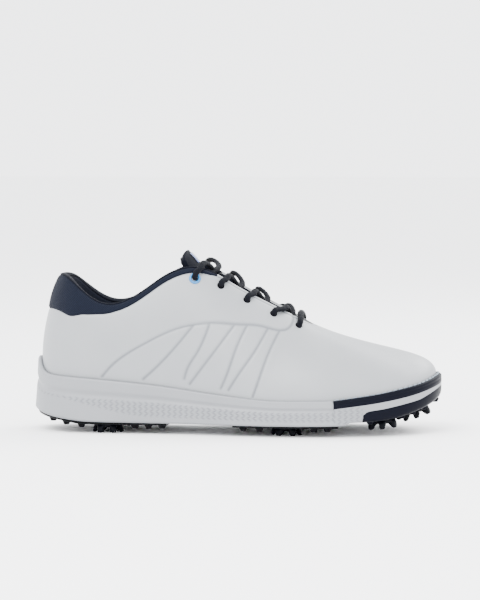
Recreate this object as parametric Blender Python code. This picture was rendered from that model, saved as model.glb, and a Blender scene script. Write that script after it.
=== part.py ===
"""Laced golf shoe, right foot, UK 9: toe along +X, outer (lateral) side along -Y, standing on its cleats.

The upper is one smooth skin, swept from heel to toe, and every layer of it (outer panels, stiffeners,
foam, lining) is that skin at its own depth. The sole is built outward from the same foot line.
Lengths are in millimetres in the functions and become metres when a mesh is made.
"""
import math

import bmesh
import bpy
import numpy as np
from mathutils import Matrix, Vector

MM = 0.001
GAP = 0.3                     # left between pieces that touch
SIDES = {"lateral": -1, "medial": 1}

# ---------------------------------------------------------------- driving dimensions
OUTER_THICKNESS = 1.6         # microfibre of the upper
STIFFENER_DEPTHS = (1.9, 2.8)  # heel counter and toe puff
LINING_DEPTHS = (3.2, 4.2)
COLLAR_PADDING = 5.0          # extra depth of the collar foam
RIM_HEIGHT = 5.0              # sole rim above the foot line
HEEL_CUP_RISE = 11.5          # extra height of the rim behind the heel
WELT_START_X = 73.5
TOE_PIECE_X = 94.0
TRAY_DROP = 1.8               # tray floor below the foot line
BOARD_THICKNESS = 1.8
FLAT_INSET = 10.0             # ring inside the foot line where a slab's faces turn flat across
PLATE_Z = 6.6                 # underside of the outsole plates, where the cleats screw in
EYELET_XS = (-28.5, -9.8, 9.2, 28.6, 47.0)
EYELET_DROP = 9.5             # hole centres below the edge of the facing
HOLE_RADIUS = 3.1
TOP_HOLE_RADIUS = 3.5
EYELET_BORE = 2.7
LACE_RADIUS = 1.9
TWIST_LUG_ANGLES = (0, 2, 4)  # every second leg of a cleat carries a locking lug
CLEATS = (                    # name, x, y
    ("heel_lateral", -93.0, -22.0),
    ("heel_medial", -93.0, 19.0),
    ("forefoot_lateral", 39.0, -32.0),
    ("forefoot_medial", 42.0, 26.0),
    ("toe_lateral", 108.0, -24.0),
    ("toe_medial", 110.0, 27.0),
    ("toe_tip", 131.0, 4.0),
)
CLEAT_RADIUS = 9.8
CLEAT_DROP = 6.6              # leg tips below the plate
RECEPTACLE_RADIUS = 9.0
RECEPTACLE_HEIGHT = 8.0
FRAME_SHIFT = (-0.15, 1.76, 0.0)   # centres the bounding box on the origin

# One row per station of the upper, heel to toe: foot x, lateral y, medial y; top edge x, half width, z;
# lower handle x, out, up; upper handle x, out, up.
STATIONS = (
    (-143.5, 0.0, 0.0, -131.0, 0.0, 115.5, -4.5, 0.0, 25.0, -10.0, 0.0, -25.0),
    (-134.0, 23.5, 22.5, -124.0, 17.0, 114.0, -2.5, 4.0, 25.0, -6.0, 6.0, -25.0),
    (-112.0, 33.0, 31.0, -107.0, 27.5, 101.0, 0.0, 5.0, 22.0, -2.0, 8.0, -20.0),
    (-85.0, 35.0, 31.0, -88.0, 31.0, 95.0, 0.0, 5.0, 20.0, 0.0, 8.0, -20.0),
    (-58.0, 36.5, 29.5, -66.0, 30.0, 105.0, 0.0, 4.0, 24.0, 0.0, 10.0, -26.0),
    (-32.0, 39.0, 27.5, -46.0, 26.0, 118.0, 0.0, 4.0, 26.0, 3.0, 12.0, -28.0),
    (-12.0, 43.0, 29.0, -24.0, 21.0, 121.0, 0.0, 4.0, 27.0, 5.0, 14.0, -24.0),
    (4.0, 46.5, 31.0, 0.0, 17.0, 108.5, 0.0, 4.0, 25.0, 8.0, 16.0, -18.0),
    (14.0, 48.0, 34.0, 22.0, 14.5, 96.5, 0.0, 4.0, 23.5, 6.0, 18.0, -14.0),
    (24.0, 49.5, 36.5, 41.0, 12.0, 87.0, 0.0, 4.0, 22.0, 2.0, 18.0, -10.0),
    (52.0, 51.0, 44.0, 49.0, 9.5, 82.5, 1.0, 4.0, 20.0, 6.0, 18.0, -9.0),
    (85.0, 47.0, 47.5, 53.5, 6.5, 80.0, 2.0, 4.0, 18.0, 18.0, 17.0, -10.0),
    (115.0, 38.0, 44.0, 55.5, 3.5, 79.0, 4.0, 4.0, 17.0, 32.0, 12.0, -13.0),
    (137.0, 20.5, 32.5, 56.3, 1.0, 78.6, 6.0, 3.0, 17.0, 44.0, 5.0, -17.0),
)
TOE_STATION = (147.0, 6.5, 56.5, 0.0, 78.5, 3.0, 0.0, 24.0, 55.0, 3.0, -22.0)
SEAM_STATION = 10             # the vamp meets the quarters here


# ---------------------------------------------------------------- curves
def profile(*points):
    """A smooth height over x through the given points, without overshoot (monotone cubic)."""
    x, y = np.array(points, float).T
    step = np.diff(x)
    slope = np.diff(y) / step
    tangent = np.empty(len(x))
    tangent[0], tangent[-1] = slope[0], slope[-1]
    for i in range(1, len(x) - 1):
        a, b = slope[i - 1], slope[i]
        tangent[i] = 0.0 if a * b <= 0 else 2 * a * b / (a + b)

    def value(at):
        at = np.clip(np.asarray(at, float), x[0], x[-1])
        i = np.clip(np.searchsorted(x, at) - 1, 0, len(step) - 1)
        t = (at - x[i]) / step[i]
        return ((2 * t**3 - 3 * t**2 + 1) * y[i] + (t**3 - 2 * t**2 + t) * step[i] * tangent[i]
                + (3 * t**2 - 2 * t**3) * y[i + 1] + (t**3 - t**2) * step[i] * tangent[i + 1])
    return value


def spline(knots, values, period=None):
    """A curve with continuous curvature through the values, closed when a period is given."""
    knots = np.asarray(knots, float)
    values = np.asarray(values, float)
    if period:
        knots = np.append(knots, knots[0] + period)
        values = np.vstack([values, values[:1]])
    n = len(knots)
    step = np.diff(knots)
    slope = np.diff(values, axis=0) / step[:, None]
    left = np.zeros((n, n))
    right = np.zeros_like(values)
    for i in range(1, n - 1):
        left[i, i - 1:i + 2] = step[i - 1], 2 * (step[i - 1] + step[i]), step[i]
        right[i] = 6 * (slope[i] - slope[i - 1])
    left[0, 0] = left[-1, -1] = 1.0
    if period:
        left[0, 0], left[0, 1], left[0, -2] = 2 * (step[0] + step[-1]), step[0], step[-1]
        right[0] = 6 * (slope[0] - slope[-1])
        left[-1, 0] = -1.0
    bend = np.linalg.solve(left, right)

    def value(at):
        at = np.asarray(at, float)
        if period:
            at = knots[0] + (at - knots[0]) % period
        i = np.clip(np.searchsorted(knots, at) - 1, 0, n - 2)
        h = step[i][..., None]
        a = (knots[i + 1] - at)[..., None] / h
        b = (at - knots[i])[..., None] / h
        return (a * values[i] + b * values[i + 1]
                + ((a**3 - a) * bend[i] + (b**3 - b) * bend[i + 1]) * h**2 / 6)
    return value


def smooth(low, high, at):
    """0 below low, 1 above high, and an even slope between."""
    t = np.clip((np.asarray(at, float) - low) / (high - low), 0, 1)
    return t * t * (3 - 2 * t)


def unit(vectors):
    return vectors / np.linalg.norm(vectors, axis=-1, keepdims=True)


FOOT_Z = profile((-145, 37.8), (-105, 35.3), (-61, 31.4), (-11, 25.2), (35, 21.4), (73, 21.7),
                 (103, 25.7), (134, 32.5), (149, 39))
MIDSOLE_Z = profile((-148, 14.8), (-138, 12.6), (-128, 11), (-105, 8.7), (-61, 8.3), (14, 8.1),
                    (48, 8.2), (80.3, 8.6), (86, 10.9), (94, 11.2))
PLATE_UNDERSIDE = profile((-148, 12.7), (-138, 10.8), (-128, 9.2), (-114, 7.0), (-106, PLATE_Z), (90, PLATE_Z))
TOE_BOTTOM = profile((94, 11), (106.9, 11.8), (118.8, 13.6), (129.3, 16.5), (139.5, 20.2),
                     (149.2, 25.8), (152, 29.5))
TOE_WALL_TOP = profile((94, 14.5), (95.4, 16.6), (97.7, 18.6), (108.2, 20.3), (124.2, 23.7),
                       (134.5, 26.4), (144.5, 31.1), (152, 35.5))
WELT_BOTTOM = profile((73.5, 20.9), (102.6, 24.7), (124.1, 28.7), (134.5, 31.5), (144.5, 35.1), (151, 38.4))
WELT_TOP = profile((73.5, 26.7), (102.6, 30.7), (124.1, 35), (134.5, 37.5), (144.5, 41.3), (151, 44.6))
FLARE = profile((-145, 7.2), (-125, 6), (-100, 5), (60, 5), (110, 4.3), (147, 3.8))
EDGE_ROUND = profile((-145, 4.5), (-125, 2.2), (-100, 1.3), (150, 1.3))


# ---------------------------------------------------------------- the skin of the upper
def station_net():
    """The control rows all round the shoe: heel, lateral side, toe, medial side."""
    rows = []
    for side in (-1, 1):
        column = 1 if side < 0 else 2
        for row in STATIONS:
            foot = (row[0], side * row[column], 0.0)
            top = (row[3], side * row[4], row[5])
            low = (row[6], side * row[7], row[8])
            high = (row[9], side * row[10], row[11])
            rows.append(np.array([foot, low, high, top]).ravel())
    toe = TOE_STATION
    toe_row = np.array([(toe[0], toe[1], 0), (toe[5], toe[6], toe[7]), (toe[8], toe[9], toe[10]),
                        (toe[2], toe[3], toe[4])], float).ravel()
    count = len(STATIONS)
    return np.array(rows[:count] + [toe_row] + rows[count + 1:][::-1])


def station_knots(net):
    """Where each control row sits on the way round, the same on both sides."""
    middle = (net.reshape(-1, 4, 3)[:, 0] + net.reshape(-1, 4, 3)[:, 3]) / 2
    ring = np.vstack([middle, middle[:1]])
    length = np.linalg.norm(np.diff(ring, axis=0), axis=1)
    half = len(STATIONS)
    step = (length[:half] + length[half:][::-1]) / 2
    lateral = np.concatenate([[0], np.cumsum(step)]) / step.sum() / 2
    return np.concatenate([lateral, 1 - lateral[1:-1][::-1]])


NET = station_net()
KNOTS = station_knots(NET)
NET_CURVE = spline(KNOTS, NET, period=1.0)
SEAM_U = KNOTS[SEAM_STATION] + 0.2 * (KNOTS[SEAM_STATION + 1] - KNOTS[SEAM_STATION])


def skin(u, v, depth=0.0):
    """A point of the upper: u runs round it from the heel, v up it from sole to top edge, depth inward."""
    u, v = np.broadcast_arrays(np.asarray(u, float), np.asarray(v, float))

    def at(u, v):
        net = NET_CURVE(u).reshape(u.shape + (4, 3))
        foot = net[..., 0, :].copy()
        foot[..., 2] = FOOT_Z(foot[..., 0])
        top = net[..., 3, :]
        v = v[..., None]
        return ((1 - v)**3 * foot + 3 * (1 - v)**2 * v * (foot + net[..., 1, :])
                + 3 * (1 - v) * v**2 * (top + net[..., 2, :]) + v**3 * top)
    small = 1e-4
    point = at(u, v)
    across = at(u + small, v) - at(u - small, v)
    upward = at(u, v + small) - at(u, v - small)
    normal = unit(np.cross(across, upward))
    return point - normal * np.asarray(depth, float)[..., None]


def skin_frame(u, v):
    """Point, outward normal and upward direction of the skin."""
    point = skin(u, v)
    return point, unit(skin(u, v, -1.0) - point), unit(skin(u, v + 1e-3) - skin(u, v - 1e-3))


def v_below_edge(u, drop):
    """The height v that lies a given length below the top edge, measured along the skin."""
    heights = np.linspace(1, 0.2, 81)
    line = skin(np.full(heights.shape, u), heights)
    length = np.concatenate([[0], np.cumsum(np.linalg.norm(np.diff(line, axis=0), axis=1))])
    return float(np.interp(drop, length, heights))


def foot_frame(u):
    """Foot line and its outward direction in plan."""
    foot = skin(u, np.zeros_like(u))
    along = NET_CURVE(u + 1e-4)[..., :2] - NET_CURVE(u - 1e-4)[..., :2]
    return foot, unit(np.stack([along[..., 1], -along[..., 0]], axis=-1))


def bulge(u, height):
    """How far the skin stands out from the foot line at a height above it."""
    foot, out = foot_frame(u)
    heights = np.linspace(0, 0.6, 31)
    reach = []
    for i, at in enumerate(u):
        line = skin(np.full(heights.shape, at), heights)
        sideways = (line[:, :2] - foot[i, :2]) @ out[i]
        reach.append(np.interp(height[i], line[:, 2] - foot[i, 2], sideways))
    return np.array(reach)


def u_at_foot_x(x):
    """The lateral u whose foot line is at x; the medial one is 1 - u."""
    fine = np.linspace(0, 0.5, 1001)
    return float(np.interp(x, NET_CURVE(fine)[:, 0], fine))


def u_at_top_x(x):
    """The lateral u whose top edge is at x."""
    fine = np.linspace(0, 0.5, 1001)
    return float(np.interp(x, NET_CURVE(fine)[:, 9], fine))


def outline(u, offset, height):
    """Points on the sole: offset outward from the foot line, at a height that depends on x."""
    foot, out = foot_frame(u)
    plan = foot[:, :2] + out * np.asarray(offset, float)[..., None]
    z = height(plan[:, 0]) if callable(height) else np.broadcast_to(height, plan[:, 0].shape)
    return np.column_stack([plan, z])


# ---------------------------------------------------------------- meshes and materials
MATERIALS = {                 # colour, roughness, metallic
    "white_microfibre": ((0.80, 0.82, 0.83), 0.42, 0.0),
    "white_foam": ((0.78, 0.79, 0.80), 0.5, 0.0),
    "navy_mesh": ((0.035, 0.045, 0.085), 0.8, 0.0),
    "navy_trim": ((0.02, 0.027, 0.055), 0.55, 0.0),
    "navy_rubber": ((0.012, 0.015, 0.03), 0.5, 0.0),
    "black_rubber": ((0.01, 0.01, 0.013), 0.45, 0.0),
    "grey_thread": ((0.42, 0.47, 0.52), 0.7, 0.0),
    "lining_textile": ((0.05, 0.06, 0.10), 0.85, 0.0),
    "insole_textile": ((0.10, 0.12, 0.18), 0.85, 0.0),
    "board": ((0.55, 0.53, 0.48), 0.9, 0.0),
    "foam": ((0.70, 0.70, 0.66), 0.9, 0.0),
    "stiffener": ((0.75, 0.73, 0.66), 0.6, 0.0),
    "shank_plastic": ((0.06, 0.06, 0.07), 0.4, 0.0),
    "receptacle_plastic": ((0.02, 0.02, 0.025), 0.4, 0.0),
    "cleat_plastic": ((0.015, 0.017, 0.028), 0.35, 0.0),
    "eyelet_blue": ((0.01, 0.25, 0.62), 0.25, 0.3),
    "lace_navy": ((0.02, 0.024, 0.05), 0.75, 0.0),
    "aglet_clear": ((0.05, 0.06, 0.09), 0.2, 0.0),
    "tag": ((0.8, 0.82, 0.85), 0.5, 0.0),
}


def material(name):
    """The named material, made once."""
    if name in bpy.data.materials:
        return bpy.data.materials[name]
    made = bpy.data.materials.new(name)
    made.use_nodes = True
    colour, roughness, metallic = MATERIALS[name]
    surface = made.node_tree.nodes["Principled BSDF"]
    surface.inputs["Base Color"].default_value = (*colour, 1)
    surface.inputs["Roughness"].default_value = roughness
    surface.inputs["Metallic"].default_value = metallic
    made.diffuse_color = (*colour, 1)
    return made


def add_object(name, mesh, material_name):
    """Link a mesh or curve as the named sub-part."""
    made = bpy.data.objects.new(name, mesh)
    bpy.context.scene.collection.objects.link(made)
    made.location = Vector(FRAME_SHIFT) * MM
    if material_name:
        mesh.materials.append(material(material_name))
    return made


def mesh_from(name, points, faces):
    """A mesh from millimetre points, its faces turned outward, smooth between creases."""
    mesh = bpy.data.meshes.new(name)
    mesh.from_pydata([tuple(p) for p in np.asarray(points) * MM], [], faces)
    work = bmesh.new()
    work.from_mesh(mesh)
    bmesh.ops.recalc_face_normals(work, faces=work.faces)
    work.to_mesh(mesh)
    work.free()
    mesh.shade_smooth()
    mesh.set_sharp_from_angle(angle=math.radians(40))
    return mesh


def shell_mesh(name, outer, inner, closed=False):
    """A sheet between two grids of points, closed round the first index if asked."""
    columns, rows = outer.shape[:2]
    points = np.concatenate([outer.reshape(-1, 3), inner.reshape(-1, 3)])
    base = columns * rows

    def o(i, j):
        return (i % columns) * rows + j

    def n(i, j):
        return base + o(i, j)
    faces = []
    last = columns if closed else columns - 1
    for i in range(last):
        for j in range(rows - 1):
            faces.append((o(i, j), o(i + 1, j), o(i + 1, j + 1)))
            faces.append((o(i, j), o(i + 1, j + 1), o(i, j + 1)))
            faces.append((n(i, j), n(i + 1, j + 1), n(i + 1, j)))
            faces.append((n(i, j), n(i, j + 1), n(i + 1, j + 1)))
        faces.append((o(i, 0), n(i, 0), n(i + 1, 0), o(i + 1, 0)))
        top = rows - 1
        faces.append((o(i, top), o(i + 1, top), n(i + 1, top), n(i, top)))
    if not closed:
        end = columns - 1
        for j in range(rows - 1):
            faces.append((o(0, j), o(0, j + 1), n(0, j + 1), n(0, j)))
            faces.append((o(end, j), n(end, j), n(end, j + 1), o(end, j + 1)))
    return mesh_from(name, points, faces)


def ladder(count, tips):
    """Triangles across a closed outline, from each lateral point to the medial point opposite."""
    if tips:
        middle = count // 2
        rungs = [(i, count - i, count - i - 1, i + 1) for i in range(1, middle - 1)]
        ends = [(0, count - 1, 1), (middle - 1, middle + 1, middle)]
    else:
        rungs = [(i, count - 1 - i, count - 2 - i, i + 1) for i in range(count // 2 - 1)]
        ends = []
    return ends + [t for a, b, c, d in rungs for t in ((a, b, c), (a, c, d))]


def rings_mesh(name, rings, tips=True):
    """Closed outlines stacked from the underside, round the edge and over the top, capped by rungs."""
    count = len(rings[0])
    points = np.concatenate(rings)
    faces = []
    for k in range(len(rings) - 1):
        for i in range(count):
            j = (i + 1) % count
            low, high = k * count, (k + 1) * count
            faces.append((low + i, low + j, high + j))
            faces.append((low + i, high + j, high + i))
    last = (len(rings) - 1) * count
    for face in ladder(count, tips):
        faces.append(face)
        faces.append(tuple(last + i for i in reversed(face)))
    return mesh_from(name, points, faces)


def sections_mesh(name, sections):
    """A run of closed cross-sections joined in order, with flat ends."""
    count, corners = sections.shape[:2]
    faces = [tuple(range(corners)), tuple(reversed(range((count - 1) * corners, count * corners)))]
    for i in range(count - 1):
        for k in range(corners):
            after = (k + 1) % corners
            faces.append((i * corners + k, i * corners + after, (i + 1) * corners + after, (i + 1) * corners + k))
    return mesh_from(name, sections.reshape(-1, 3), faces)


def lathe_mesh(name, profile_at, angles):
    """A turned solid whose profile (radius, height) may change with the angle; it starts and ends on the axis."""
    profiles = [profile_at(i, angle) for i, angle in enumerate(angles)]
    inner = len(profiles[0]) - 2
    count = len(angles)
    points = [(0, 0, profiles[0][0][1]), (0, 0, profiles[0][-1][1])]
    for k in range(1, inner + 1):
        for angle, line in zip(angles, profiles):
            radius, height = line[k]
            points.append((radius * math.cos(angle), radius * math.sin(angle), height))
    faces = []
    for i in range(count):
        j = (i + 1) % count
        faces.append((0, 2 + i, 2 + j))
        for k in range(inner - 1):
            a, b = 2 + k * count, 2 + (k + 1) * count
            faces.append((a + i, b + i, b + j, a + j))
        a = 2 + (inner - 1) * count
        faces.append((a + i, 1, a + j))
    return mesh_from(name, points, faces)


def boxes_mesh(name, boxes):
    """Separate tapered blocks: each is four top corners and four bottom corners."""
    points = []
    faces = []
    for top, bottom in boxes:
        base = len(points)
        points += list(top) + list(bottom)
        faces += [(base, base + 1, base + 2, base + 3), (base + 7, base + 6, base + 5, base + 4)]
        for k in range(4):
            after = (k + 1) % 4
            faces.append((base + k, base + 4 + k, base + 4 + after, base + after))
    return mesh_from(name, points, faces)


def hide_as_tool(tool):
    tool.display_type = "WIRE"
    tool.hide_render = True
    return tool


def combine(target, tool, operation):
    """Cut a hidden tool from a sub-part, or join it on."""
    change = target.modifiers.new(tool.name, "BOOLEAN")
    change.operation = operation
    change.solver = "EXACT"
    change.object = hide_as_tool(tool)


def posts_tool(name, posts, sides=16):
    """Round bars as one cutting tool; each is a start point, an end point and a radius."""
    points = []
    faces = []
    for start, end, radius in posts:
        start, end = Vector(start), Vector(end)
        turn = (end - start).to_track_quat("Z", "Y")
        base = len(points)
        for foot in (start, end):
            for k in range(sides):
                angle = math.tau * k / sides
                points.append(foot + turn @ Vector((radius * math.cos(angle), radius * math.sin(angle), 0)))
        faces.append(tuple(base + k for k in reversed(range(sides))))
        faces.append(tuple(base + sides + k for k in range(sides)))
        for k in range(sides):
            after = (k + 1) % sides
            faces.append((base + k, base + after, base + sides + after, base + sides + k))
    return add_object(name, mesh_from(name, points, faces), None)


# ---------------------------------------------------------------- layers of the upper
def padding(u, v):
    """Extra depth of the lining where the collar is padded."""
    top_x = NET_CURVE(u)[..., 9]
    return (COLLAR_PADDING * (1 - smooth(-62, -46, top_x)) * smooth(0.52, 0.75, v)
            * (1 - 0.65 * smooth(0.9, 1.0, v)))


LOW_ROWS = (0.0, 1 / 6, 1 / 3)    # heights shared by every layer, so that all of them stay parallel
HIGH_ROWS = (0.25, 0.5, 0.75, 1.0)


def full_rows(top):
    """Heights of a layer that runs from the sole up to its own top edge."""
    def rows(u):
        end = top(u)
        return LOW_ROWS + tuple(LOW_ROWS[-1] + (end - LOW_ROWS[-1]) * share for share in HIGH_ROWS)
    return rows


def layer(name, material_name, us, rows, outer, inner, closed=False):
    """One layer of the upper between two depths, over part of the skin; rows gives its heights at u."""
    grid_v = np.array([rows(u) for u in us])
    grid_u = np.repeat(np.asarray(us)[:, None], grid_v.shape[1], axis=1)

    def depth(value):
        return value(grid_u, grid_v) if callable(value) else value
    sheet = shell_mesh(name, skin(grid_u, grid_v, depth(outer)), skin(grid_u, grid_v, depth(inner)), closed)
    return add_object(name, sheet, material_name)


HAIR = 0.0004                 # half a gap, as a share of the way round
EDGE_TRIM = 2.5               # the binding covers this much of the top edge
BAND_END_X = -13.0
BAND_HEIGHT = profile((-131, 27.5), (-118, 25), (-108, 16), (-97, 9.5), (-84, 6.5), (-60, 6), (-30, 5.2),
                      (-20, 4.6), (BAND_END_X, 2.4))


def band_end_u():
    return u_at_top_x(BAND_END_X)


def trimmed_top(u):
    """Top of the layers: under the binding along the collar, the bare edge along the facings."""
    away = min(u, 1 - u)
    return v_below_edge(u, EDGE_TRIM) if away <= band_end_u() + HAIR else 1.0


def band_bottom(u):
    """Lower edge of the navy collar panel."""
    return v_below_edge(u, float(BAND_HEIGHT(NET_CURVE(u)[9])))


def quarter_top(u):
    away = min(u, 1 - u)
    if away > band_end_u() + HAIR:
        return 1.0
    return v_below_edge(u, float(BAND_HEIGHT(NET_CURVE(u)[9])) + GAP)


def upper_grid():
    """Lateral columns from heel to toe, with a close pair where the collar band ends and at the vamp seam."""
    end = band_end_u()
    collar = np.linspace(0, end, 13)
    quarter = np.linspace(end + 3 * HAIR, SEAM_U - HAIR, 6)
    front = np.linspace(SEAM_U + HAIR, 0.5, 10)
    return np.concatenate([collar, quarter, front])


def columns(keep):
    """The grid columns that pass a test of their lateral u, in order over the toe."""
    lateral = np.array([u for u in upper_grid() if keep(u)])
    return np.concatenate([lateral, 1 - lateral[lateral < 0.5][::-1]])


def heel_columns(reach):
    """The grid columns within reach of the heel, from the medial side round to the lateral side."""
    lateral = np.array([u for u in upper_grid() if u <= reach])
    return np.concatenate([1 - lateral[:0:-1], lateral])


def build_quarter(label, side):
    """One side panel with its row of punched lace holes."""
    span = np.array([u for u in upper_grid() if u < SEAM_U])
    span[0] = HAIR
    us = span if side < 0 else 1 - span[::-1]
    name = f"quarter_{label}"
    panel = layer(name, "white_microfibre", us, full_rows(quarter_top), 0.0, OUTER_THICKNESS)
    combine(panel, posts_tool(f"tool_{name}_holes", hole_posts(side), 12), "DIFFERENCE")


def build_vamp():
    layer("vamp", "white_microfibre", columns(lambda u: u > SEAM_U), full_rows(lambda u: 1.0), 0.0, OUTER_THICKNESS)


def build_collar_panel():
    def rows(u):
        return tuple(np.linspace(band_bottom(u), trimmed_top(u), 4))
    layer("heel_collar_panel", "navy_mesh", heel_columns(band_end_u()), rows, 0.0, OUTER_THICKNESS)


def build_stiffeners():
    heel = heel_columns(u_at_foot_x(-70))
    layer("heel_counter", "stiffener", heel, lambda u: LOW_ROWS, *STIFFENER_DEPTHS)
    toe = columns(lambda u: u > u_at_foot_x(112))
    layer("toe_puff", "stiffener", toe, lambda u: LOW_ROWS, *STIFFENER_DEPTHS)


def build_lining():
    us = columns(lambda u: True)[1:]
    us = np.concatenate([[0.0], us[us < 1.0]])
    lining = layer("lining", "lining_textile", us, full_rows(trimmed_top),
                   lambda u, v: LINING_DEPTHS[0] + padding(u, v),
                   lambda u, v: LINING_DEPTHS[1] + padding(u, v), closed=True)
    posts = hole_posts(-1, GAP) + hole_posts(1, GAP)
    combine(lining, posts_tool("tool_lining_holes", posts, 10), "DIFFERENCE")


def build_collar_foam():
    def rows(u):
        return full_rows(trimmed_top)(u)[len(LOW_ROWS):]
    layer("collar_foam", "foam", heel_columns(u_at_top_x(-50)), rows, OUTER_THICKNESS + GAP,
          lambda u, v: LINING_DEPTHS[0] - GAP + padding(u, v))


def build_collar_binding():
    """The rolled edge that closes the collar over panel, foam and lining."""
    us = np.linspace(-band_end_u(), band_end_u(), 37) % 1.0
    point, normal, upward = skin_frame(us, np.ones_like(us))
    deep = LINING_DEPTHS[1] + padding(us, np.ones_like(us))
    section = ((0.0, -1.55), (-0.1, -0.5), (0.12, 0.45), (0.5, 0.9), (0.85, 0.5), (1.0, -0.5), (0.98, -1.55))
    rows = []
    for share, rise in section:
        rows.append(point - normal * (deep * share)[:, None] + upward * rise)
    mesh = sections_mesh("collar_binding", np.stack(rows, axis=1))
    add_object("collar_binding", mesh, "navy_trim")


# ---------------------------------------------------------------- lace holes and eyelets
def eyelet_u(x):
    """The lateral u of the lace hole at x."""
    candidates = np.linspace(KNOTS[4], KNOTS[11], 61)
    xs = [skin(u, v_below_edge(u, EYELET_DROP))[0] for u in candidates]
    return float(np.interp(x, xs, candidates))


EYELET_US = [eyelet_u(x) for x in EYELET_XS]


def on_facing(row, side, drop, height, toward_toe=0.0):
    """A point near a lace hole: drop below the facing's edge, height above the skin (below if negative),
    moved toward the next hole, 1 being that hole."""
    rows = EYELET_US
    step = rows[min(row + 1, 4)] - rows[max(row, 0)] if row < 4 else rows[4] - rows[3]
    u = rows[row] + toward_toe * step
    u = u if side < 0 else 1 - u
    point, normal, upward = skin_frame(np.array(u), np.array(v_below_edge(u, max(drop, 0.0))))
    return point + normal * height + upward * max(-drop, 0.0)


def hole_posts(side, extra=0.0):
    posts = []
    for row in range(len(EYELET_XS)):
        radius = HOLE_RADIUS if row else TOP_HOLE_RADIUS
        posts.append((on_facing(row, side, EYELET_DROP, 4.0), on_facing(row, side, EYELET_DROP, -7.0), radius + extra))
    return posts


def build_eyelet(label, side):
    """Blue ring in the top hole: a domed flange outside and a barrel through both layers."""
    barrel = TOP_HOLE_RADIUS - GAP
    depth = LINING_DEPTHS[1]
    line = ((EYELET_BORE, 0.35), (EYELET_BORE + 0.25, 1.0), (3.5, 1.15), (4.3, 0.8), (4.4, GAP + 0.05),
            (barrel, GAP), (barrel, -depth), (EYELET_BORE, -depth))
    sides = 14
    points = []
    for k in range(sides):
        angle = math.tau * k / sides
        points += [(r * math.cos(angle), r * math.sin(angle), z) for r, z in line]
    count = len(line)
    faces = []
    for k in range(sides):
        a, b = k * count, ((k + 1) % sides) * count
        faces += [(a + i, b + i, b + (i + 1) % count, a + (i + 1) % count) for i in range(count)]
    mesh = mesh_from(f"eyelet_{label}", points, faces)
    ring = add_object(f"eyelet_{label}", mesh, "eyelet_blue")
    centre = Vector(on_facing(0, side, EYELET_DROP, 0.0))
    axis = Vector(on_facing(0, side, EYELET_DROP, 1.0)) - centre
    place = Matrix.Translation((centre + Vector(FRAME_SHIFT)) * MM) @ axis.to_track_quat("Z", "Y").to_matrix().to_4x4()
    ring.matrix_world = place


# ---------------------------------------------------------------- tongue
TONGUE_LINE = spline((0, 0.07, 0.16, 0.28, 0.45, 0.6, 0.75, 0.88, 1.0), (
    (61, 67.5), (54, 71.5), (45, 75.8), (30, 83.5), (10, 94.5), (-6, 104.2), (-20.4, 115.8), (-30, 127.0), (-37, 133.5)))
TONGUE_WIDTH = profile((0, 8), (0.1, 10), (0.2, 12), (0.35, 14.5), (0.5, 16.5), (0.7, 17), (0.86, 18.6),
                       (0.95, 18.2), (1, 15))
TONGUE_ARCH = profile((0, 36), (0.2, 36), (0.5, 30), (0.65, 28), (0.8, 30), (1, 46))


def tongue_frame(s):
    centre = TONGUE_LINE(s)
    along = unit(TONGUE_LINE(s + 1e-3) - TONGUE_LINE(s - 1e-3))
    return centre, along


def tongue(s, y, depth=0.0):
    """A point of the arched tongue: s from its stitched base to its head, y across, depth downward."""
    s, y = np.broadcast_arrays(np.asarray(s, float), np.asarray(y, float))
    centre, along = tongue_frame(s)
    width = TONGUE_ARCH(s)
    rise = 1.22 * width
    share = np.clip(y / width, -0.98, 0.98)
    drop = rise * (1 - np.sqrt(1 - share**2))
    lean = rise / width * share / np.sqrt(1 - share**2)
    facing = np.stack([-along[..., 1], along[..., 0]], axis=-1)
    facing = facing * np.where(facing[..., 1:2] < 0, -1.0, 1.0)
    plan = centre - facing * drop[..., None]
    point = np.stack([plan[..., 0], y, plan[..., 1]], axis=-1)
    normal = unit(np.stack([facing[..., 0], lean, facing[..., 1]], axis=-1))
    return point - normal * np.asarray(depth, float)[..., None]


def tongue_layer(name, material_name, s_range, share, outer, inner, columns, rows):
    """One layer of the tongue between two depths."""
    grid_s = np.repeat(np.linspace(*s_range, columns)[:, None], rows, axis=1)
    reach = (TONGUE_WIDTH(grid_s[:, :1]) * share)
    grid_y = reach * np.linspace(-1, 1, rows)[None, :]
    mesh = shell_mesh(name, tongue(grid_s, grid_y, outer), tongue(grid_s, grid_y, inner))
    return add_object(name, mesh, material_name)


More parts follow.
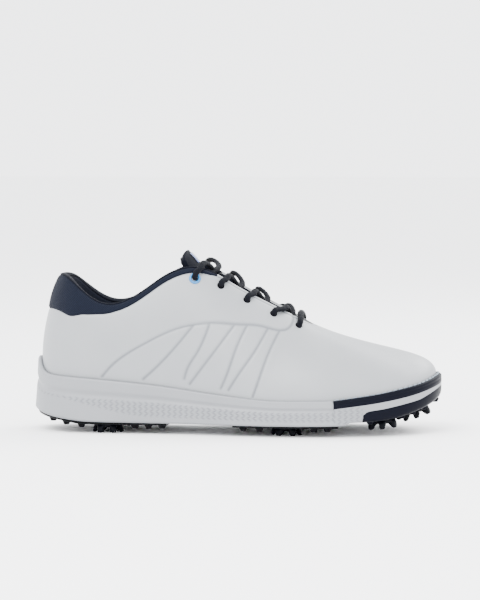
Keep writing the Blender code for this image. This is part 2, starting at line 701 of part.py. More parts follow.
def build_tongue():
    tongue_layer("tongue_cover", "navy_trim", (0.0, 0.985), 0.93, 0.0, 1.2, 12, 7)
    tongue_layer("tongue_foam", "foam", (0.05, 0.98), 0.9, 1.6, 4.2, 9, 5)
    tongue_layer("tongue_lining", "lining_textile", (0.02, 0.985), 0.93, 4.6, 5.4, 9, 5)
    tongue_layer("tongue_tag", "tag", (0.86, 0.955), 0.34, -1.0, -0.35, 3, 5)
    base_s = 0.5
    up = [(s, sign) for sign in (-1,) for s in np.linspace(base_s, 0.985, 9)]
    over = [(0.985, t) for t in np.linspace(-0.93, 0.93, 9)[1:-1]]
    down = [(s, 1) for s in np.linspace(base_s, 0.985, 9)[::-1]]
    edge = []
    for s, share in up + over + down:
        width = float(TONGUE_WIDTH(s))
        y = share * width * (0.93 if abs(share) == 1 else 1.0)
        edge.append((s, y))
    path = np.array([tongue(s, y, 2.65) for s, y in edge])
    face = np.array([tongue(s, y, 1.65) for s, y in edge]) - path
    travel = np.gradient(path, axis=0)
    out = unit(np.cross(unit(travel), unit(face)))
    middle = path[len(path) // 2]
    if np.dot(out[0], path[0] - middle) < 0 or out[0][1] > 0:
        out = -out if out[0][1] > 0 else out
    section = ((0.35, -2.9), (1.3, -3.1), (2.3, -1.9), (2.7, 0.0), (2.3, 2.0), (1.2, 3.1), (0.35, 2.9))
    rows = [path + out * a + unit(face) * b for a, b in section]
    add_object("tongue_binding", sections_mesh("tongue_binding", np.stack(rows, axis=1)), "navy_trim")


# ---------------------------------------------------------------- lace
LACE_OVER = 2.35              # lace centre above the facing
LACE_UNDER = -6.75            # lace centre below it, clear of the lining


def lace_half(side):
    """The lace from the middle of the toe bar through five holes on alternating sides, to its end."""
    points = []
    for row in range(4, -1, -1):
        here = side if (4 - row) % 2 == 0 else -side
        over = LACE_OVER if row else LACE_OVER + 1.0
        if row < 4:
            points.append(on_facing(row, here, -1.6, 2.2, 0.34))
            points.append(on_facing(row, here, 3.4, over, 0.2))
        else:
            points.append(on_facing(row, here, -1.6, 2.2, 0.0))
            points.append(on_facing(row, here, 3.4, over, 0.0))
        points.append(on_facing(row, here, 6.9, over, 0.04 if row < 4 else 0.0))
        points.append(on_facing(row, here, 8.9, over - 0.6))
        points.append(on_facing(row, here, EYELET_DROP, -0.6))
        points.append(on_facing(row, here, EYELET_DROP, -3.6))
        points.append(on_facing(row, here, 8.9, -5.9, -0.02))
        if row > 0:
            points.append(on_facing(row, here, 6.2, LACE_UNDER, -0.1))
            points.append(on_facing(row, here, 0.8, LACE_UNDER, -0.3))
            lift = 7.6 if here < 0 else 3.1
            points.append(throat_point(row, lift))
    end = side if len(EYELET_XS) % 2 else -side
    points += [on_facing(0, end, drop, -depth) for drop, depth in LACE_TAIL]
    return points


LACE_TAIL = ((15, 7.4), (24, 7.8), (34, 8.2), (44, 8.6), (53, 9.2))  # down inside the lining: drop, depth


def throat_point(row, lift):
    """Middle of the throat between a row and the next one toward the ankle, lifted off the tongue."""
    x = (EYELET_XS[row] + EYELET_XS[row - 1]) / 2
    fine = np.linspace(0.05, 0.95, 91)
    s = float(np.interp(-x, -TONGUE_LINE(fine)[:, 0], fine))
    return tongue(s, 0.0, -lift)


def lace_route():
    """The whole lace, end to end."""
    first = lace_half(-1)
    second = lace_half(1)
    middle = (first[0] + second[0]) / 2 + np.array((0, 0, 0.8))
    return np.array(first[::-1] + [middle] + second)


def even_points(route, spacing):
    """Evenly spaced points on a smooth curve through the route."""
    length = np.concatenate([[0], np.cumsum(np.linalg.norm(np.diff(route, axis=0), axis=1))])
    curve = spline(length, route)
    return curve(np.linspace(0, length[-1], max(int(length[-1] / spacing), 2) + 1))


def tube(name, points, radius, material_name, resolution=2):
    """A round cord along the points."""
    line = bpy.data.curves.new(name, "CURVE")
    line.dimensions = "3D"
    line.bevel_depth = radius * MM
    line.bevel_resolution = resolution
    line.use_fill_caps = True
    run = line.splines.new("POLY")
    run.points.add(len(points) - 1)
    for spot, point in zip(run.points, points):
        spot.co = (*(np.asarray(point) * MM), 1)
    return add_object(name, line, material_name)


def build_lace():
    points = even_points(lace_route(), 4.6)
    tube("lace", points, LACE_RADIUS, "lace_navy", 1)
    for label, end, before in (("first", points[0], points[1]), ("second", points[-1], points[-2])):
        along = unit(end - before)
        tube(f"aglet_{label}", [end + along * GAP, end + along * 19], 1.5, "aglet_clear")


# ---------------------------------------------------------------- sole
def both_sides(lateral):
    """The lateral u values followed by the matching medial ones, heel to toe and back."""
    lateral = np.asarray(lateral)
    inner = lateral[(lateral > 0) & (lateral < 0.5)]
    return np.concatenate([lateral, 1 - inner[::-1]])


def rim_height(u):
    """Height of the sole rim above the foot line, with its rise behind the heel."""
    foot = skin(u, np.zeros_like(u))
    heel = HEEL_CUP_RISE * np.exp(-(foot[:, 1] / 13)**2) * (foot[:, 0] < 0)
    return RIM_HEIGHT + heel


def sole_grid():
    """Lateral stations of the sole, with close pairs at the ends of the welt and of the toe piece."""
    pairs = {u_at_foot_x(x + d) for x in (WELT_START_X, TOE_PIECE_X) for d in (-0.3, 0.3)}
    toe_start = {u_at_foot_x(TOE_PIECE_X + 2 * GAP), u_at_foot_x(TOE_PIECE_X + 4)}
    return np.array(sorted(set(np.linspace(0, 0.5, 23)) | pairs | toe_start | {0.497}))


def midsole_rings():
    u = both_sides(sole_grid())
    foot, _ = foot_frame(u)
    x = foot[:, 0]
    in_toe = x > TOE_PIECE_X
    in_welt = x > WELT_START_X
    flare = FLARE(x)
    rim = rim_height(u)
    rim_out = bulge(u, rim) + 2.8
    rim_out = np.where(in_welt, flare, rim_out)
    rim_in = np.where(in_welt, 0.8, bulge(u, rim) + 0.4)
    recess = flare - 2.9
    corner = EDGE_ROUND(x)
    even = np.ones(u.shape)

    def bottom(x):
        return np.where(in_toe, TOE_BOTTOM(x) + 4.6, MIDSOLE_Z(x))

    def top(x):
        return np.where(in_welt, WELT_BOTTOM(x) - GAP, foot[:, 2] + rim)

    def floor(x):
        return FOOT_Z(x) - TRAY_DROP

    def between(toe_share, share):
        """Part of the way up the wall, which starts on the toe piece at the front."""
        def height(x):
            low = np.where(in_toe, TOE_WALL_TOP(x) + 2 * GAP, bottom(x))
            return low + (top(x) - low) * np.where(in_toe, toe_share, share)
        return height

    def wall(share):
        return flare + (rim_out - flare) * share**0.8
    return [
        outline(u, -FLAT_INSET * even, bottom),
        outline(u, np.where(in_toe, recess - 0.8, flare - 1.2 * corner), bottom),
        outline(u, np.where(in_toe, recess, flare), lambda x: bottom(x) + np.where(in_toe, 0.8, corner)),
        outline(u, np.where(in_toe, recess, wall(0.28)), between(0.0, 0.28)),
        outline(u, np.where(in_toe, flare, wall(0.31)), between(0.0, 0.31)),
        outline(u, np.where(in_welt, flare, rim_out - 0.5), between(0.4, 0.62)),
        outline(u, np.where(in_welt, flare, rim_out), between(0.75, 0.8)),
        outline(u, np.where(in_welt, flare, rim_out - 0.2), top),
        outline(u, rim_in, top),
        outline(u, 0.4 * even, floor),
        outline(u, -FLAT_INSET * even, floor),
    ]


def cleat_places():
    """Each cleat seat: name, centre on the outsole's underside, and the upward normal there."""
    places = []
    for name, x, y in CLEATS:
        if x < TOE_PIECE_X:
            places.append((name, Vector((x, y, PLATE_Z)), Vector((0, 0, 1))))
            continue
        z = float(TOE_BOTTOM(x))
        slope = float(TOE_BOTTOM(x + 6) - TOE_BOTTOM(x - 6)) / 12
        up = Vector((-slope, 0, 1)).normalized()
        places.append((name, Vector((x, y, z)) - up * 0.6, up))
    return places


def seat_posts(start, end, group=""):
    radius = RECEPTACLE_RADIUS + GAP
    return [(at + up * start, at + up * end, radius) for name, at, up in cleat_places() if group in name]


def build_midsole():
    sole = add_object("midsole", rings_mesh("midsole", midsole_rings()), "white_foam")
    posts = seat_posts(-2.0, RECEPTACLE_HEIGHT + GAP)
    combine(sole, posts_tool("tool_midsole_pockets", posts), "DIFFERENCE")


def lug(x, y, underside, size, drop):
    """A tapered rubber lug under the outsole."""
    z = float(underside(x))
    half = size / 2
    top = [(x + half * a, y + half * b, z + 0.6) for a, b in ((-1, -1), (1, -1), (1, 1), (-1, 1))]
    bottom = [(x + 0.55 * half * a, y + 0.55 * half * b, z - drop) for a, b in ((-1, -1), (1, -1), (1, 1), (-1, 1))]
    return top, bottom


def plate_rings(lateral, tips, bottom, top):
    u = both_sides(lateral) if tips else np.concatenate([lateral, 1 - lateral[::-1]])
    flare = FLARE(foot_frame(u)[0][:, 0])
    return [
        outline(u, flare - 4.2, bottom),
        outline(u, flare - 3.2, lambda x: bottom(x) + 0.6),
        outline(u, flare - 2.6, top),
    ]


def plate_top(x):
    return MIDSOLE_Z(x) - GAP - 0.1


def edge_lugs(xs, inset, underside, size, drop):
    """Lugs along both edges of the sole at the given x."""
    lugs = []
    for x in xs:
        for sign in (-1, 1):
            u = u_at_foot_x(x)
            u = u if sign < 0 else 1 - u
            spot = outline(np.array([u]), np.array([-inset]), 0.0)[0]
            lugs.append(lug(spot[0], spot[1], underside, size, drop))
    return lugs


def build_heel_plate():
    lateral = np.linspace(0.006, u_at_foot_x(-48), 15)
    mesh = rings_mesh("outsole_heel_plate", plate_rings(lateral, False, PLATE_UNDERSIDE, plate_top), tips=False)
    plate = add_object("outsole_heel_plate", mesh, "black_rubber")
    lugs = edge_lugs((-136, -124, -112, -72, -62, -52), 2.5, PLATE_UNDERSIDE, 6.0, 2.6)
    lugs += [lug(x, y, PLATE_UNDERSIDE, 7.0, 2.6) for x in (-118, -66) for y in (-9, 8)]
    lugs += [lug(-93, -1.5, PLATE_UNDERSIDE, 7.0, 2.6)]
    combine(plate, add_object("tool_heel_lugs", boxes_mesh("tool_heel_lugs", lugs), None), "UNION")
    posts = seat_posts(-1.0, 4.0, "heel")
    combine(plate, posts_tool("tool_heel_holes", posts), "DIFFERENCE")


def build_forefoot_plate():
    lateral = np.linspace(u_at_foot_x(1), u_at_foot_x(77), 10)
    mesh = rings_mesh("outsole_forefoot_plate", plate_rings(lateral, False, PLATE_UNDERSIDE, plate_top), tips=False)
    plate = add_object("outsole_forefoot_plate", mesh, "black_rubber")
    lugs = edge_lugs((8, 20, 60, 70), 2.5, PLATE_UNDERSIDE, 6.0, 2.6)
    lugs += [lug(x, y, PLATE_UNDERSIDE, 7.0, 2.6) for x in (10, 68) for y in (-22, 0, 20)]
    lugs += [lug(x, -3, PLATE_UNDERSIDE, 7.0, 2.6) for x in (30, 50)]
    combine(plate, add_object("tool_forefoot_lugs", boxes_mesh("tool_forefoot_lugs", lugs), None), "UNION")
    posts = seat_posts(-1.0, 4.0, "forefoot")
    combine(plate, posts_tool("tool_forefoot_holes", posts), "DIFFERENCE")


def build_toe_piece():
    """The rubber toe cup: floor, side wall round the toe, and its three cleat seats."""
    stations = sole_grid()
    lateral = stations[(stations > u_at_foot_x(TOE_PIECE_X + 1.5 * GAP)) & (stations < 0.5)]
    u = np.concatenate([lateral, 1 - lateral[::-1]])
    flare = FLARE(foot_frame(u)[0][:, 0])
    rings = [
        outline(u, np.full(u.shape, -FLAT_INSET), TOE_BOTTOM),
        outline(u, flare - 1.6, TOE_BOTTOM),
        outline(u, flare, lambda x: TOE_BOTTOM(x) + 1.8),
        outline(u, flare, TOE_WALL_TOP),
    ]
    cup = add_object("outsole_toe_piece", rings_mesh("outsole_toe_piece", rings, tips=False), "navy_rubber")
    behind = np.concatenate([[u_at_foot_x(TOE_PIECE_X - 3)], lateral])
    u = np.concatenate([behind, 1 - behind[::-1]])
    flare = FLARE(foot_frame(u)[0][:, 0])
    inside = [
        outline(u, np.full(u.shape, -FLAT_INSET), lambda x: TOE_BOTTOM(x) + 4.2),
        outline(u, flare - 3.4, lambda x: TOE_BOTTOM(x) + 4.2),
        outline(u, flare - 2.5, lambda x: TOE_BOTTOM(x) + 5.0),
        outline(u, flare - 2.5, lambda x: TOE_WALL_TOP(x) + 6),
    ]
    combine(cup, add_object("tool_toe_inside", rings_mesh("tool_toe_inside", inside, tips=False), None), "DIFFERENCE")
    lugs = edge_lugs((125, 133, 141), 3.5, TOE_BOTTOM, 5.0, 2.2)
    lugs += [lug(x, y, TOE_BOTTOM, 6.0, 2.4) for x, y in ((101, 2), (113, 2), (100, -39), (99, 42), (146, 8))]
    combine(cup, add_object("tool_toe_lugs", boxes_mesh("tool_toe_lugs", lugs), None), "UNION")
    combine(cup, posts_tool("tool_toe_holes", seat_posts(-3.0, 7.0, "toe")), "DIFFERENCE")


def build_welt():
    """The stitched strip round the front of the sole, and the thread along it."""
    lateral = sole_grid()[sole_grid() > u_at_foot_x(WELT_START_X)]
    lateral[0] = u_at_foot_x(WELT_START_X + 0.8)
    u = np.concatenate([lateral, 1 - lateral[:-1][::-1]])
    foot, _ = foot_frame(u)
    x = foot[:, 0]
    flare = FLARE(x)
    inner_low = bulge(u, np.maximum(WELT_BOTTOM(x) - foot[:, 2], 0.0)) + 1.6
    inner_high = bulge(u, WELT_TOP(x) - foot[:, 2]) + 0.9
    sections = [
        outline(u, inner_low, WELT_BOTTOM),
        outline(u, flare, WELT_BOTTOM),
        outline(u, flare + 0.1, lambda x: 0.25 * WELT_BOTTOM(x) + 0.75 * WELT_TOP(x)),
        outline(u, flare - 0.7, lambda x: WELT_TOP(x) - 0.2),
        outline(u, inner_high, WELT_TOP),
        outline(u, (inner_high + inner_low) / 2 + 0.2, lambda x: (WELT_TOP(x) + WELT_BOTTOM(x)) / 2),
    ]
    add_object("welt", sections_mesh("welt", np.stack(sections, axis=1)), "navy_rubber")
    run = outline(u, (inner_high + flare - 0.7) / 2, lambda x: WELT_TOP(x) + 0.85)
    tube("welt_stitching", run[1:-1], 0.45, "grey_thread", 0)


def tray_slab(name, material_name, inset, low, high):
    """A thin sheet that fills the tray inside the lining."""
    u = both_sides(np.append(sole_grid()[:-2:2], 0.5))
    rings = []
    for offset, rise in ((-FLAT_INSET, low), (-inset, low), (-inset, high), (-FLAT_INSET, high)):
        rings.append(outline(u, np.full(u.shape, offset), lambda x, rise=rise: FOOT_Z(x) + rise))
    return add_object(name, rings_mesh(name, rings), material_name)


def build_inside_sole():
    tray_slab("insole_board", "board", 5.3, 0.0, BOARD_THICKNESS)
    tray_slab("sockliner", "insole_textile", 5.3, BOARD_THICKNESS + 0.5, BOARD_THICKNESS + 3.9)
    xs = np.linspace(-82, 14, 17)
    sections = []
    for half, rise in ((-9, -TRAY_DROP + 0.5), (9, -TRAY_DROP + 0.5), (9, -0.4), (-9, -0.4)):
        sections.append(np.column_stack([xs, np.full(xs.shape, half - 1.0), FOOT_Z(xs) + rise]))
    add_object("shank", sections_mesh("shank", np.stack(sections, axis=1)), "shank_plastic")


# ---------------------------------------------------------------- cleats
LEGS = 6
LEG_HALF = math.radians(12)


def star_angles():
    """Three angles for each leg: its two edges and the middle of the gap after it."""
    angles = []
    for leg in range(LEGS):
        middle = math.tau * leg / LEGS
        angles += [middle - LEG_HALF, middle + LEG_HALF, middle + math.pi / LEGS]
    return angles


def cleat_profile(index, _angle):
    """Half section of a cleat: stud with locking lugs on top, disc, splayed legs below."""
    on_leg = index % 3 < 2
    locking = on_leg and index // 3 in TWIST_LUG_ANGLES
    stud = 5.3 if locking else 4.0
    body = [(0, 6.1), (stud, 6.1), (stud, 3.2), (4.0, 3.1), (4.0, -0.3), (CLEAT_RADIUS, -0.3)]
    if on_leg:
        body += [(CLEAT_RADIUS + 0.8, -1.6), (CLEAT_RADIUS + 1.6, -CLEAT_DROP), (CLEAT_RADIUS - 1.2, -CLEAT_DROP),
                 (6.6, -2.6)]
    else:
        body += [(CLEAT_RADIUS, -1.4), (CLEAT_RADIUS - 0.3, -1.9), (CLEAT_RADIUS - 0.8, -2.2), (6.4, -2.5)]
    return body + [(0, -3.0)]


def receptacle_profile(index, _angle):
    """Half section of a cleat seat: a cup with a chamber and a slotted mouth."""
    slot = index // 3 not in TWIST_LUG_ANGLES and index % 3 < 2
    mouth = 5.9 if slot else 4.4
    return [(0, 6.7), (6.0, 6.7), (6.0, 2.7), (mouth, 2.5), (mouth, 0.0), (RECEPTACLE_RADIUS, 0.0),
            (RECEPTACLE_RADIUS, RECEPTACLE_HEIGHT), (0, RECEPTACLE_HEIGHT)]


def build_cleats():
    cleat_mesh = lathe_mesh("cleat", cleat_profile, star_angles())
    seat_mesh = lathe_mesh("receptacle", receptacle_profile, star_angles())
    cleat_mesh.materials.append(material("cleat_plastic"))
    seat_mesh.materials.append(material("receptacle_plastic"))
    for name, centre, up in cleat_places():
        turn = up.to_track_quat("Z", "Y").to_matrix().to_4x4()
        place = Matrix.Translation((centre + Vector(FRAME_SHIFT)) * MM) @ turn
        for label, mesh in (("cleat", cleat_mesh), ("receptacle", seat_mesh)):
            made = bpy.data.objects.new(f"{label}_{name}", mesh)
            bpy.context.scene.collection.objects.link(made)
            made.matrix_world = place


def main():
    for old in list(bpy.data.objects):
        bpy.data.objects.remove(old)
    for label, side in SIDES.items():
        build_quarter(label, side)
        build_eyelet(label, side)
    build_vamp()
    build_collar_panel()
    build_stiffeners()
    build_lining()
    build_collar_foam()
    build_collar_binding()
    build_tongue()
    build_lace()
    build_midsole()
    build_heel_plate()
    build_forefoot_plate()
    build_toe_piece()
    build_welt()
    build_inside_sole()
    build_cleats()


main()
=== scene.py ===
"""The look of the golf shoe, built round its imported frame: right foot, toe along +X, outer side along -Y.

The skin of the upper, the foot line and the lace route are the frame's own formulas, in millimetres.
Every visible surface is a fine mesh laid on them, with geometry for grooves, texture and stitches.
"""
import math

import bpy
import numpy as np
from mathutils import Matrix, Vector


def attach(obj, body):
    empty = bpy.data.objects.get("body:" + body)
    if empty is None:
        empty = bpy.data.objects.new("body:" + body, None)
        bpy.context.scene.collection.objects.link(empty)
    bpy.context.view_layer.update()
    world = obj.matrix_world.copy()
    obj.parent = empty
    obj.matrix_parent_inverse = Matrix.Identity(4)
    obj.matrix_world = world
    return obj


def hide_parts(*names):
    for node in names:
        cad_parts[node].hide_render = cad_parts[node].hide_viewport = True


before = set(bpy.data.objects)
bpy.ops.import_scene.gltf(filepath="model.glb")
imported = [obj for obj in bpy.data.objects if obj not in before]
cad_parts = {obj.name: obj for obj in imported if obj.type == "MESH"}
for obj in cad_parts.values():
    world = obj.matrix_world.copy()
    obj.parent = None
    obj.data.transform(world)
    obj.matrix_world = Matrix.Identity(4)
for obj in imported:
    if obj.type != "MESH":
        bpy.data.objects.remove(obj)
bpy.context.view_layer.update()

MM = 0.001
SIDES = {"lateral": -1, "medial": 1}

# ---------------------------------------------------------------- driving dimensions
LINING_DEPTHS = (3.2, 4.2)
COLLAR_PADDING = 5.0          # extra depth of the collar foam
RIM_HEIGHT = 5.0              # sole rim above the foot line
HEEL_CUP_RISE = 11.5          # extra height of the rim behind the heel
WELT_START_X = 73.5
TOE_PIECE_X = 94.0
TRAY_DROP = 1.8               # tray floor below the foot line
FLAT_INSET = 10.0             # ring inside the foot line where a slab's faces turn flat across
PLATE_Z = 6.6                 # underside of the outsole plates, where the cleats screw in
EYELET_XS = (-28.5, -9.8, 9.2, 28.6, 47.0)
EYELET_DROP = 9.5             # hole centres below the edge of the facing
CLEATS = (                    # name, x, y
    ("heel_lateral", -93.0, -22.0),
    ("heel_medial", -93.0, 19.0),
    ("forefoot_lateral", 39.0, -32.0),
    ("forefoot_medial", 42.0, 26.0),
    ("toe_lateral", 108.0, -24.0),
    ("toe_medial", 110.0, 27.0),
    ("toe_tip", 131.0, 4.0),
)
FRAME_SHIFT = (-0.15, 1.76, 0.0)   # centres the bounding box on the origin

# One row per station of the upper, heel to toe: foot x, lateral y, medial y; top edge x, half width, z;
# lower handle x, out, up; upper handle x, out, up.
STATIONS = (
    (-143.5, 0.0, 0.0, -131.0, 0.0, 115.5, -4.5, 0.0, 25.0, -10.0, 0.0, -25.0),
    (-134.0, 23.5, 22.5, -124.0, 17.0, 114.0, -2.5, 4.0, 25.0, -6.0, 6.0, -25.0),
    (-112.0, 33.0, 31.0, -107.0, 27.5, 101.0, 0.0, 5.0, 22.0, -2.0, 8.0, -20.0),
    (-85.0, 35.0, 31.0, -88.0, 31.0, 95.0, 0.0, 5.0, 20.0, 0.0, 8.0, -20.0),
    (-58.0, 36.5, 29.5, -66.0, 30.0, 105.0, 0.0, 4.0, 24.0, 0.0, 10.0, -26.0),
    (-32.0, 39.0, 27.5, -46.0, 26.0, 118.0, 0.0, 4.0, 26.0, 3.0, 12.0, -28.0),
    (-12.0, 43.0, 29.0, -24.0, 21.0, 121.0, 0.0, 4.0, 27.0, 5.0, 14.0, -24.0),
    (4.0, 46.5, 31.0, 0.0, 17.0, 108.5, 0.0, 4.0, 25.0, 8.0, 16.0, -18.0),
    (14.0, 48.0, 34.0, 22.0, 14.5, 96.5, 0.0, 4.0, 23.5, 6.0, 18.0, -14.0),
    (24.0, 49.5, 36.5, 41.0, 12.0, 87.0, 0.0, 4.0, 22.0, 2.0, 18.0, -10.0),
    (52.0, 51.0, 44.0, 49.0, 9.5, 82.5, 1.0, 4.0, 20.0, 6.0, 18.0, -9.0),
    (85.0, 47.0, 47.5, 53.5, 6.5, 80.0, 2.0, 4.0, 18.0, 18.0, 17.0, -10.0),
    (115.0, 38.0, 44.0, 55.5, 3.5, 79.0, 4.0, 4.0, 17.0, 32.0, 12.0, -13.0),
    (137.0, 20.5, 32.5, 56.3, 1.0, 78.6, 6.0, 3.0, 17.0, 44.0, 5.0, -17.0),
)
TOE_STATION = (147.0, 6.5, 56.5, 0.0, 78.5, 3.0, 0.0, 24.0, 55.0, 3.0, -22.0)


# ---------------------------------------------------------------- curves
def profile(*points):
    """A smooth height over x through the given points, without overshoot (monotone cubic)."""
    x, y = np.array(points, float).T
    step = np.diff(x)
    slope = np.diff(y) / step
    tangent = np.empty(len(x))
    tangent[0], tangent[-1] = slope[0], slope[-1]
    for i in range(1, len(x) - 1):
        a, b = slope[i - 1], slope[i]
        tangent[i] = 0.0 if a * b <= 0 else 2 * a * b / (a + b)

    def value(at):
        at = np.clip(np.asarray(at, float), x[0], x[-1])
        i = np.clip(np.searchsorted(x, at) - 1, 0, len(step) - 1)
        t = (at - x[i]) / step[i]
        return ((2 * t**3 - 3 * t**2 + 1) * y[i] + (t**3 - 2 * t**2 + t) * step[i] * tangent[i]
                + (3 * t**2 - 2 * t**3) * y[i + 1] + (t**3 - t**2) * step[i] * tangent[i + 1])
    return value


def spline(knots, values, period=None):
    """A curve with continuous curvature through the values, closed when a period is given."""
    knots = np.asarray(knots, float)
    values = np.asarray(values, float)
    if period:
        knots = np.append(knots, knots[0] + period)
        values = np.vstack([values, values[:1]])
    n = len(knots)
    step = np.diff(knots)
    slope = np.diff(values, axis=0) / step[:, None]
    left = np.zeros((n, n))
    right = np.zeros_like(values)
    for i in range(1, n - 1):
        left[i, i - 1:i + 2] = step[i - 1], 2 * (step[i - 1] + step[i]), step[i]
        right[i] = 6 * (slope[i] - slope[i - 1])
    left[0, 0] = left[-1, -1] = 1.0
    if period:
        left[0, 0], left[0, 1], left[0, -2] = 2 * (step[0] + step[-1]), step[0], step[-1]
        right[0] = 6 * (slope[0] - slope[-1])
        left[-1, 0] = -1.0
    bend = np.linalg.solve(left, right)

    def value(at):
        at = np.asarray(at, float)
        if period:
            at = knots[0] + (at - knots[0]) % period
        i = np.clip(np.searchsorted(knots, at) - 1, 0, n - 2)
        h = step[i][..., None]
        a = (knots[i + 1] - at)[..., None] / h
        b = (at - knots[i])[..., None] / h
        return (a * values[i] + b * values[i + 1]
                + ((a**3 - a) * bend[i] + (b**3 - b) * bend[i + 1]) * h**2 / 6)
    return value


def smooth(low, high, at):
    """0 below low, 1 above high, and an even slope between."""
    t = np.clip((np.asarray(at, float) - low) / (high - low), 0, 1)
    return t * t * (3 - 2 * t)


def unit(vectors):
    return vectors / np.linalg.norm(vectors, axis=-1, keepdims=True)


FOOT_Z = profile((-145, 37.8), (-105, 35.3), (-61, 31.4), (-11, 25.2), (35, 21.4), (73, 21.7),
                 (103, 25.7), (134, 32.5), (149, 39))
MIDSOLE_Z = profile((-148, 14.8), (-138, 12.6), (-128, 11), (-105, 8.7), (-61, 8.3), (14, 8.1),
                    (48, 8.2), (80.3, 8.6), (86, 10.9), (94, 11.2))
PLATE_UNDERSIDE = profile((-148, 12.7), (-138, 10.8), (-128, 9.2), (-114, 7.0), (-106, PLATE_Z),
                          (90, PLATE_Z))
TOE_BOTTOM = profile((94, 11), (106.9, 11.8), (118.8, 13.6), (129.3, 16.5), (139.5, 20.2),
                     (149.2, 25.8), (152, 29.5))
TOE_WALL_TOP = profile((94, 14.5), (95.4, 16.6), (97.7, 18.6), (108.2, 20.3), (124.2, 23.7),
                       (134.5, 26.4), (144.5, 31.1), (152, 35.5))
WELT_BOTTOM = profile((73.5, 20.9), (102.6, 24.7), (124.1, 28.7), (134.5, 31.5), (144.5, 35.1), (151, 38.4))
WELT_TOP = profile((73.5, 26.7), (102.6, 30.7), (124.1, 35), (134.5, 37.5), (144.5, 41.3), (151, 44.6))
FLARE = profile((-145, 7.2), (-125, 6), (-100, 5), (60, 5), (110, 4.3), (147, 3.8))
EDGE_ROUND = profile((-145, 4.5), (-125, 2.2), (-100, 1.3), (150, 1.3))


# ---------------------------------------------------------------- the skin of the upper
def station_net():
    """The control rows all round the shoe: heel, lateral side, toe, medial side."""
    rows = []
    for side in (-1, 1):
        column = 1 if side < 0 else 2
        for row in STATIONS:
            foot = (row[0], side * row[column], 0.0)
            top = (row[3], side * row[4], row[5])
            low = (row[6], side * row[7], row[8])
            high = (row[9], side * row[10], row[11])
            rows.append(np.array([foot, low, high, top]).ravel())
    toe = TOE_STATION
    toe_row = np.array([(toe[0], toe[1], 0), (toe[5], toe[6], toe[7]), (toe[8], toe[9], toe[10]),
                        (toe[2], toe[3], toe[4])], float).ravel()
    count = len(STATIONS)
    return np.array(rows[:count] + [toe_row] + rows[count + 1:][::-1])


def station_knots(net):
    """Where each control row sits on the way round, the same on both sides."""
    middle = (net.reshape(-1, 4, 3)[:, 0] + net.reshape(-1, 4, 3)[:, 3]) / 2
    ring = np.vstack([middle, middle[:1]])
    length = np.linalg.norm(np.diff(ring, axis=0), axis=1)
    half = len(STATIONS)
    step = (length[:half] + length[half:][::-1]) / 2
    lateral = np.concatenate([[0], np.cumsum(step)]) / step.sum() / 2
    return np.concatenate([lateral, 1 - lateral[1:-1][::-1]])


NET = station_net()
KNOTS = station_knots(NET)
NET_CURVE = spline(KNOTS, NET, period=1.0)


def skin(u, v, depth=0.0):
    """A point of the upper: u runs round it from the heel, v up it from sole to top edge, depth inward."""
    u, v = np.broadcast_arrays(np.asarray(u, float), np.asarray(v, float))

    def at(u, v):
        net = NET_CURVE(u).reshape(u.shape + (4, 3))
        foot = net[..., 0, :].copy()
        foot[..., 2] = FOOT_Z(foot[..., 0])
        top = net[..., 3, :]
        v = v[..., None]
        return ((1 - v)**3 * foot + 3 * (1 - v)**2 * v * (foot + net[..., 1, :])
                + 3 * (1 - v) * v**2 * (top + net[..., 2, :]) + v**3 * top)
    small = 1e-4
    point = at(u, v)
    across = at(u + small, v) - at(u - small, v)
    upward = at(u, v + small) - at(u, v - small)
    normal = unit(np.cross(across, upward))
    return point - normal * np.asarray(depth, float)[..., None]


def skin_frame(u, v):
    """Point, outward normal and upward direction of the skin."""
    point = skin(u, v)
    return point, unit(skin(u, v, -1.0) - point), unit(skin(u, v + 1e-3) - skin(u, v - 1e-3))


def v_below_edge(u, drop):
    """The height v that lies a given length below the top edge, measured along the skin."""
    heights = np.linspace(1, 0.2, 81)
    line = skin(np.full(heights.shape, u), heights)
    length = np.concatenate([[0], np.cumsum(np.linalg.norm(np.diff(line, axis=0), axis=1))])
    return float(np.interp(drop, length, heights))


def foot_frame(u):
    """Foot line and its outward direction in plan."""
    foot = skin(u, np.zeros_like(u))
    along = NET_CURVE(u + 1e-4)[..., :2] - NET_CURVE(u - 1e-4)[..., :2]
    return foot, unit(np.stack([along[..., 1], -along[..., 0]], axis=-1))


def bulge(u, height):
    """How far the skin stands out from the foot line at a height above it."""
    foot, out = foot_frame(u)
    heights = np.linspace(0, 0.6, 31)
    reach = []
    for i, at in enumerate(u):
        line = skin(np.full(heights.shape, at), heights)
        sideways = (line[:, :2] - foot[i, :2]) @ out[i]
        reach.append(np.interp(height[i], line[:, 2] - foot[i, 2], sideways))
    return np.array(reach)


def u_at_foot_x(x):
    """The lateral u whose foot line is at x; the medial one is 1 - u."""
    fine = np.linspace(0, 0.5, 1001)
    return float(np.interp(x, NET_CURVE(fine)[:, 0], fine))


def u_at_top_x(x):
    """The lateral u whose top edge is at x."""
    fine = np.linspace(0, 0.5, 1001)
    return float(np.interp(x, NET_CURVE(fine)[:, 9], fine))


def outline(u, offset, height):
    """Points on the sole: offset outward from the foot line, at a height that depends on x."""
    foot, out = foot_frame(u)
    plan = foot[:, :2] + out * np.asarray(offset, float)[..., None]
    z = height(plan[:, 0]) if callable(height) else np.broadcast_to(height, plan[:, 0].shape)
    return np.column_stack([plan, z])


def padding(u, v):
    """Extra depth of the lining where the collar is padded."""
    top_x = NET_CURVE(u)[..., 9]
    return (COLLAR_PADDING * (1 - smooth(-62, -46, top_x)) * smooth(0.52, 0.75, v)
            * (1 - 0.65 * smooth(0.9, 1.0, v)))


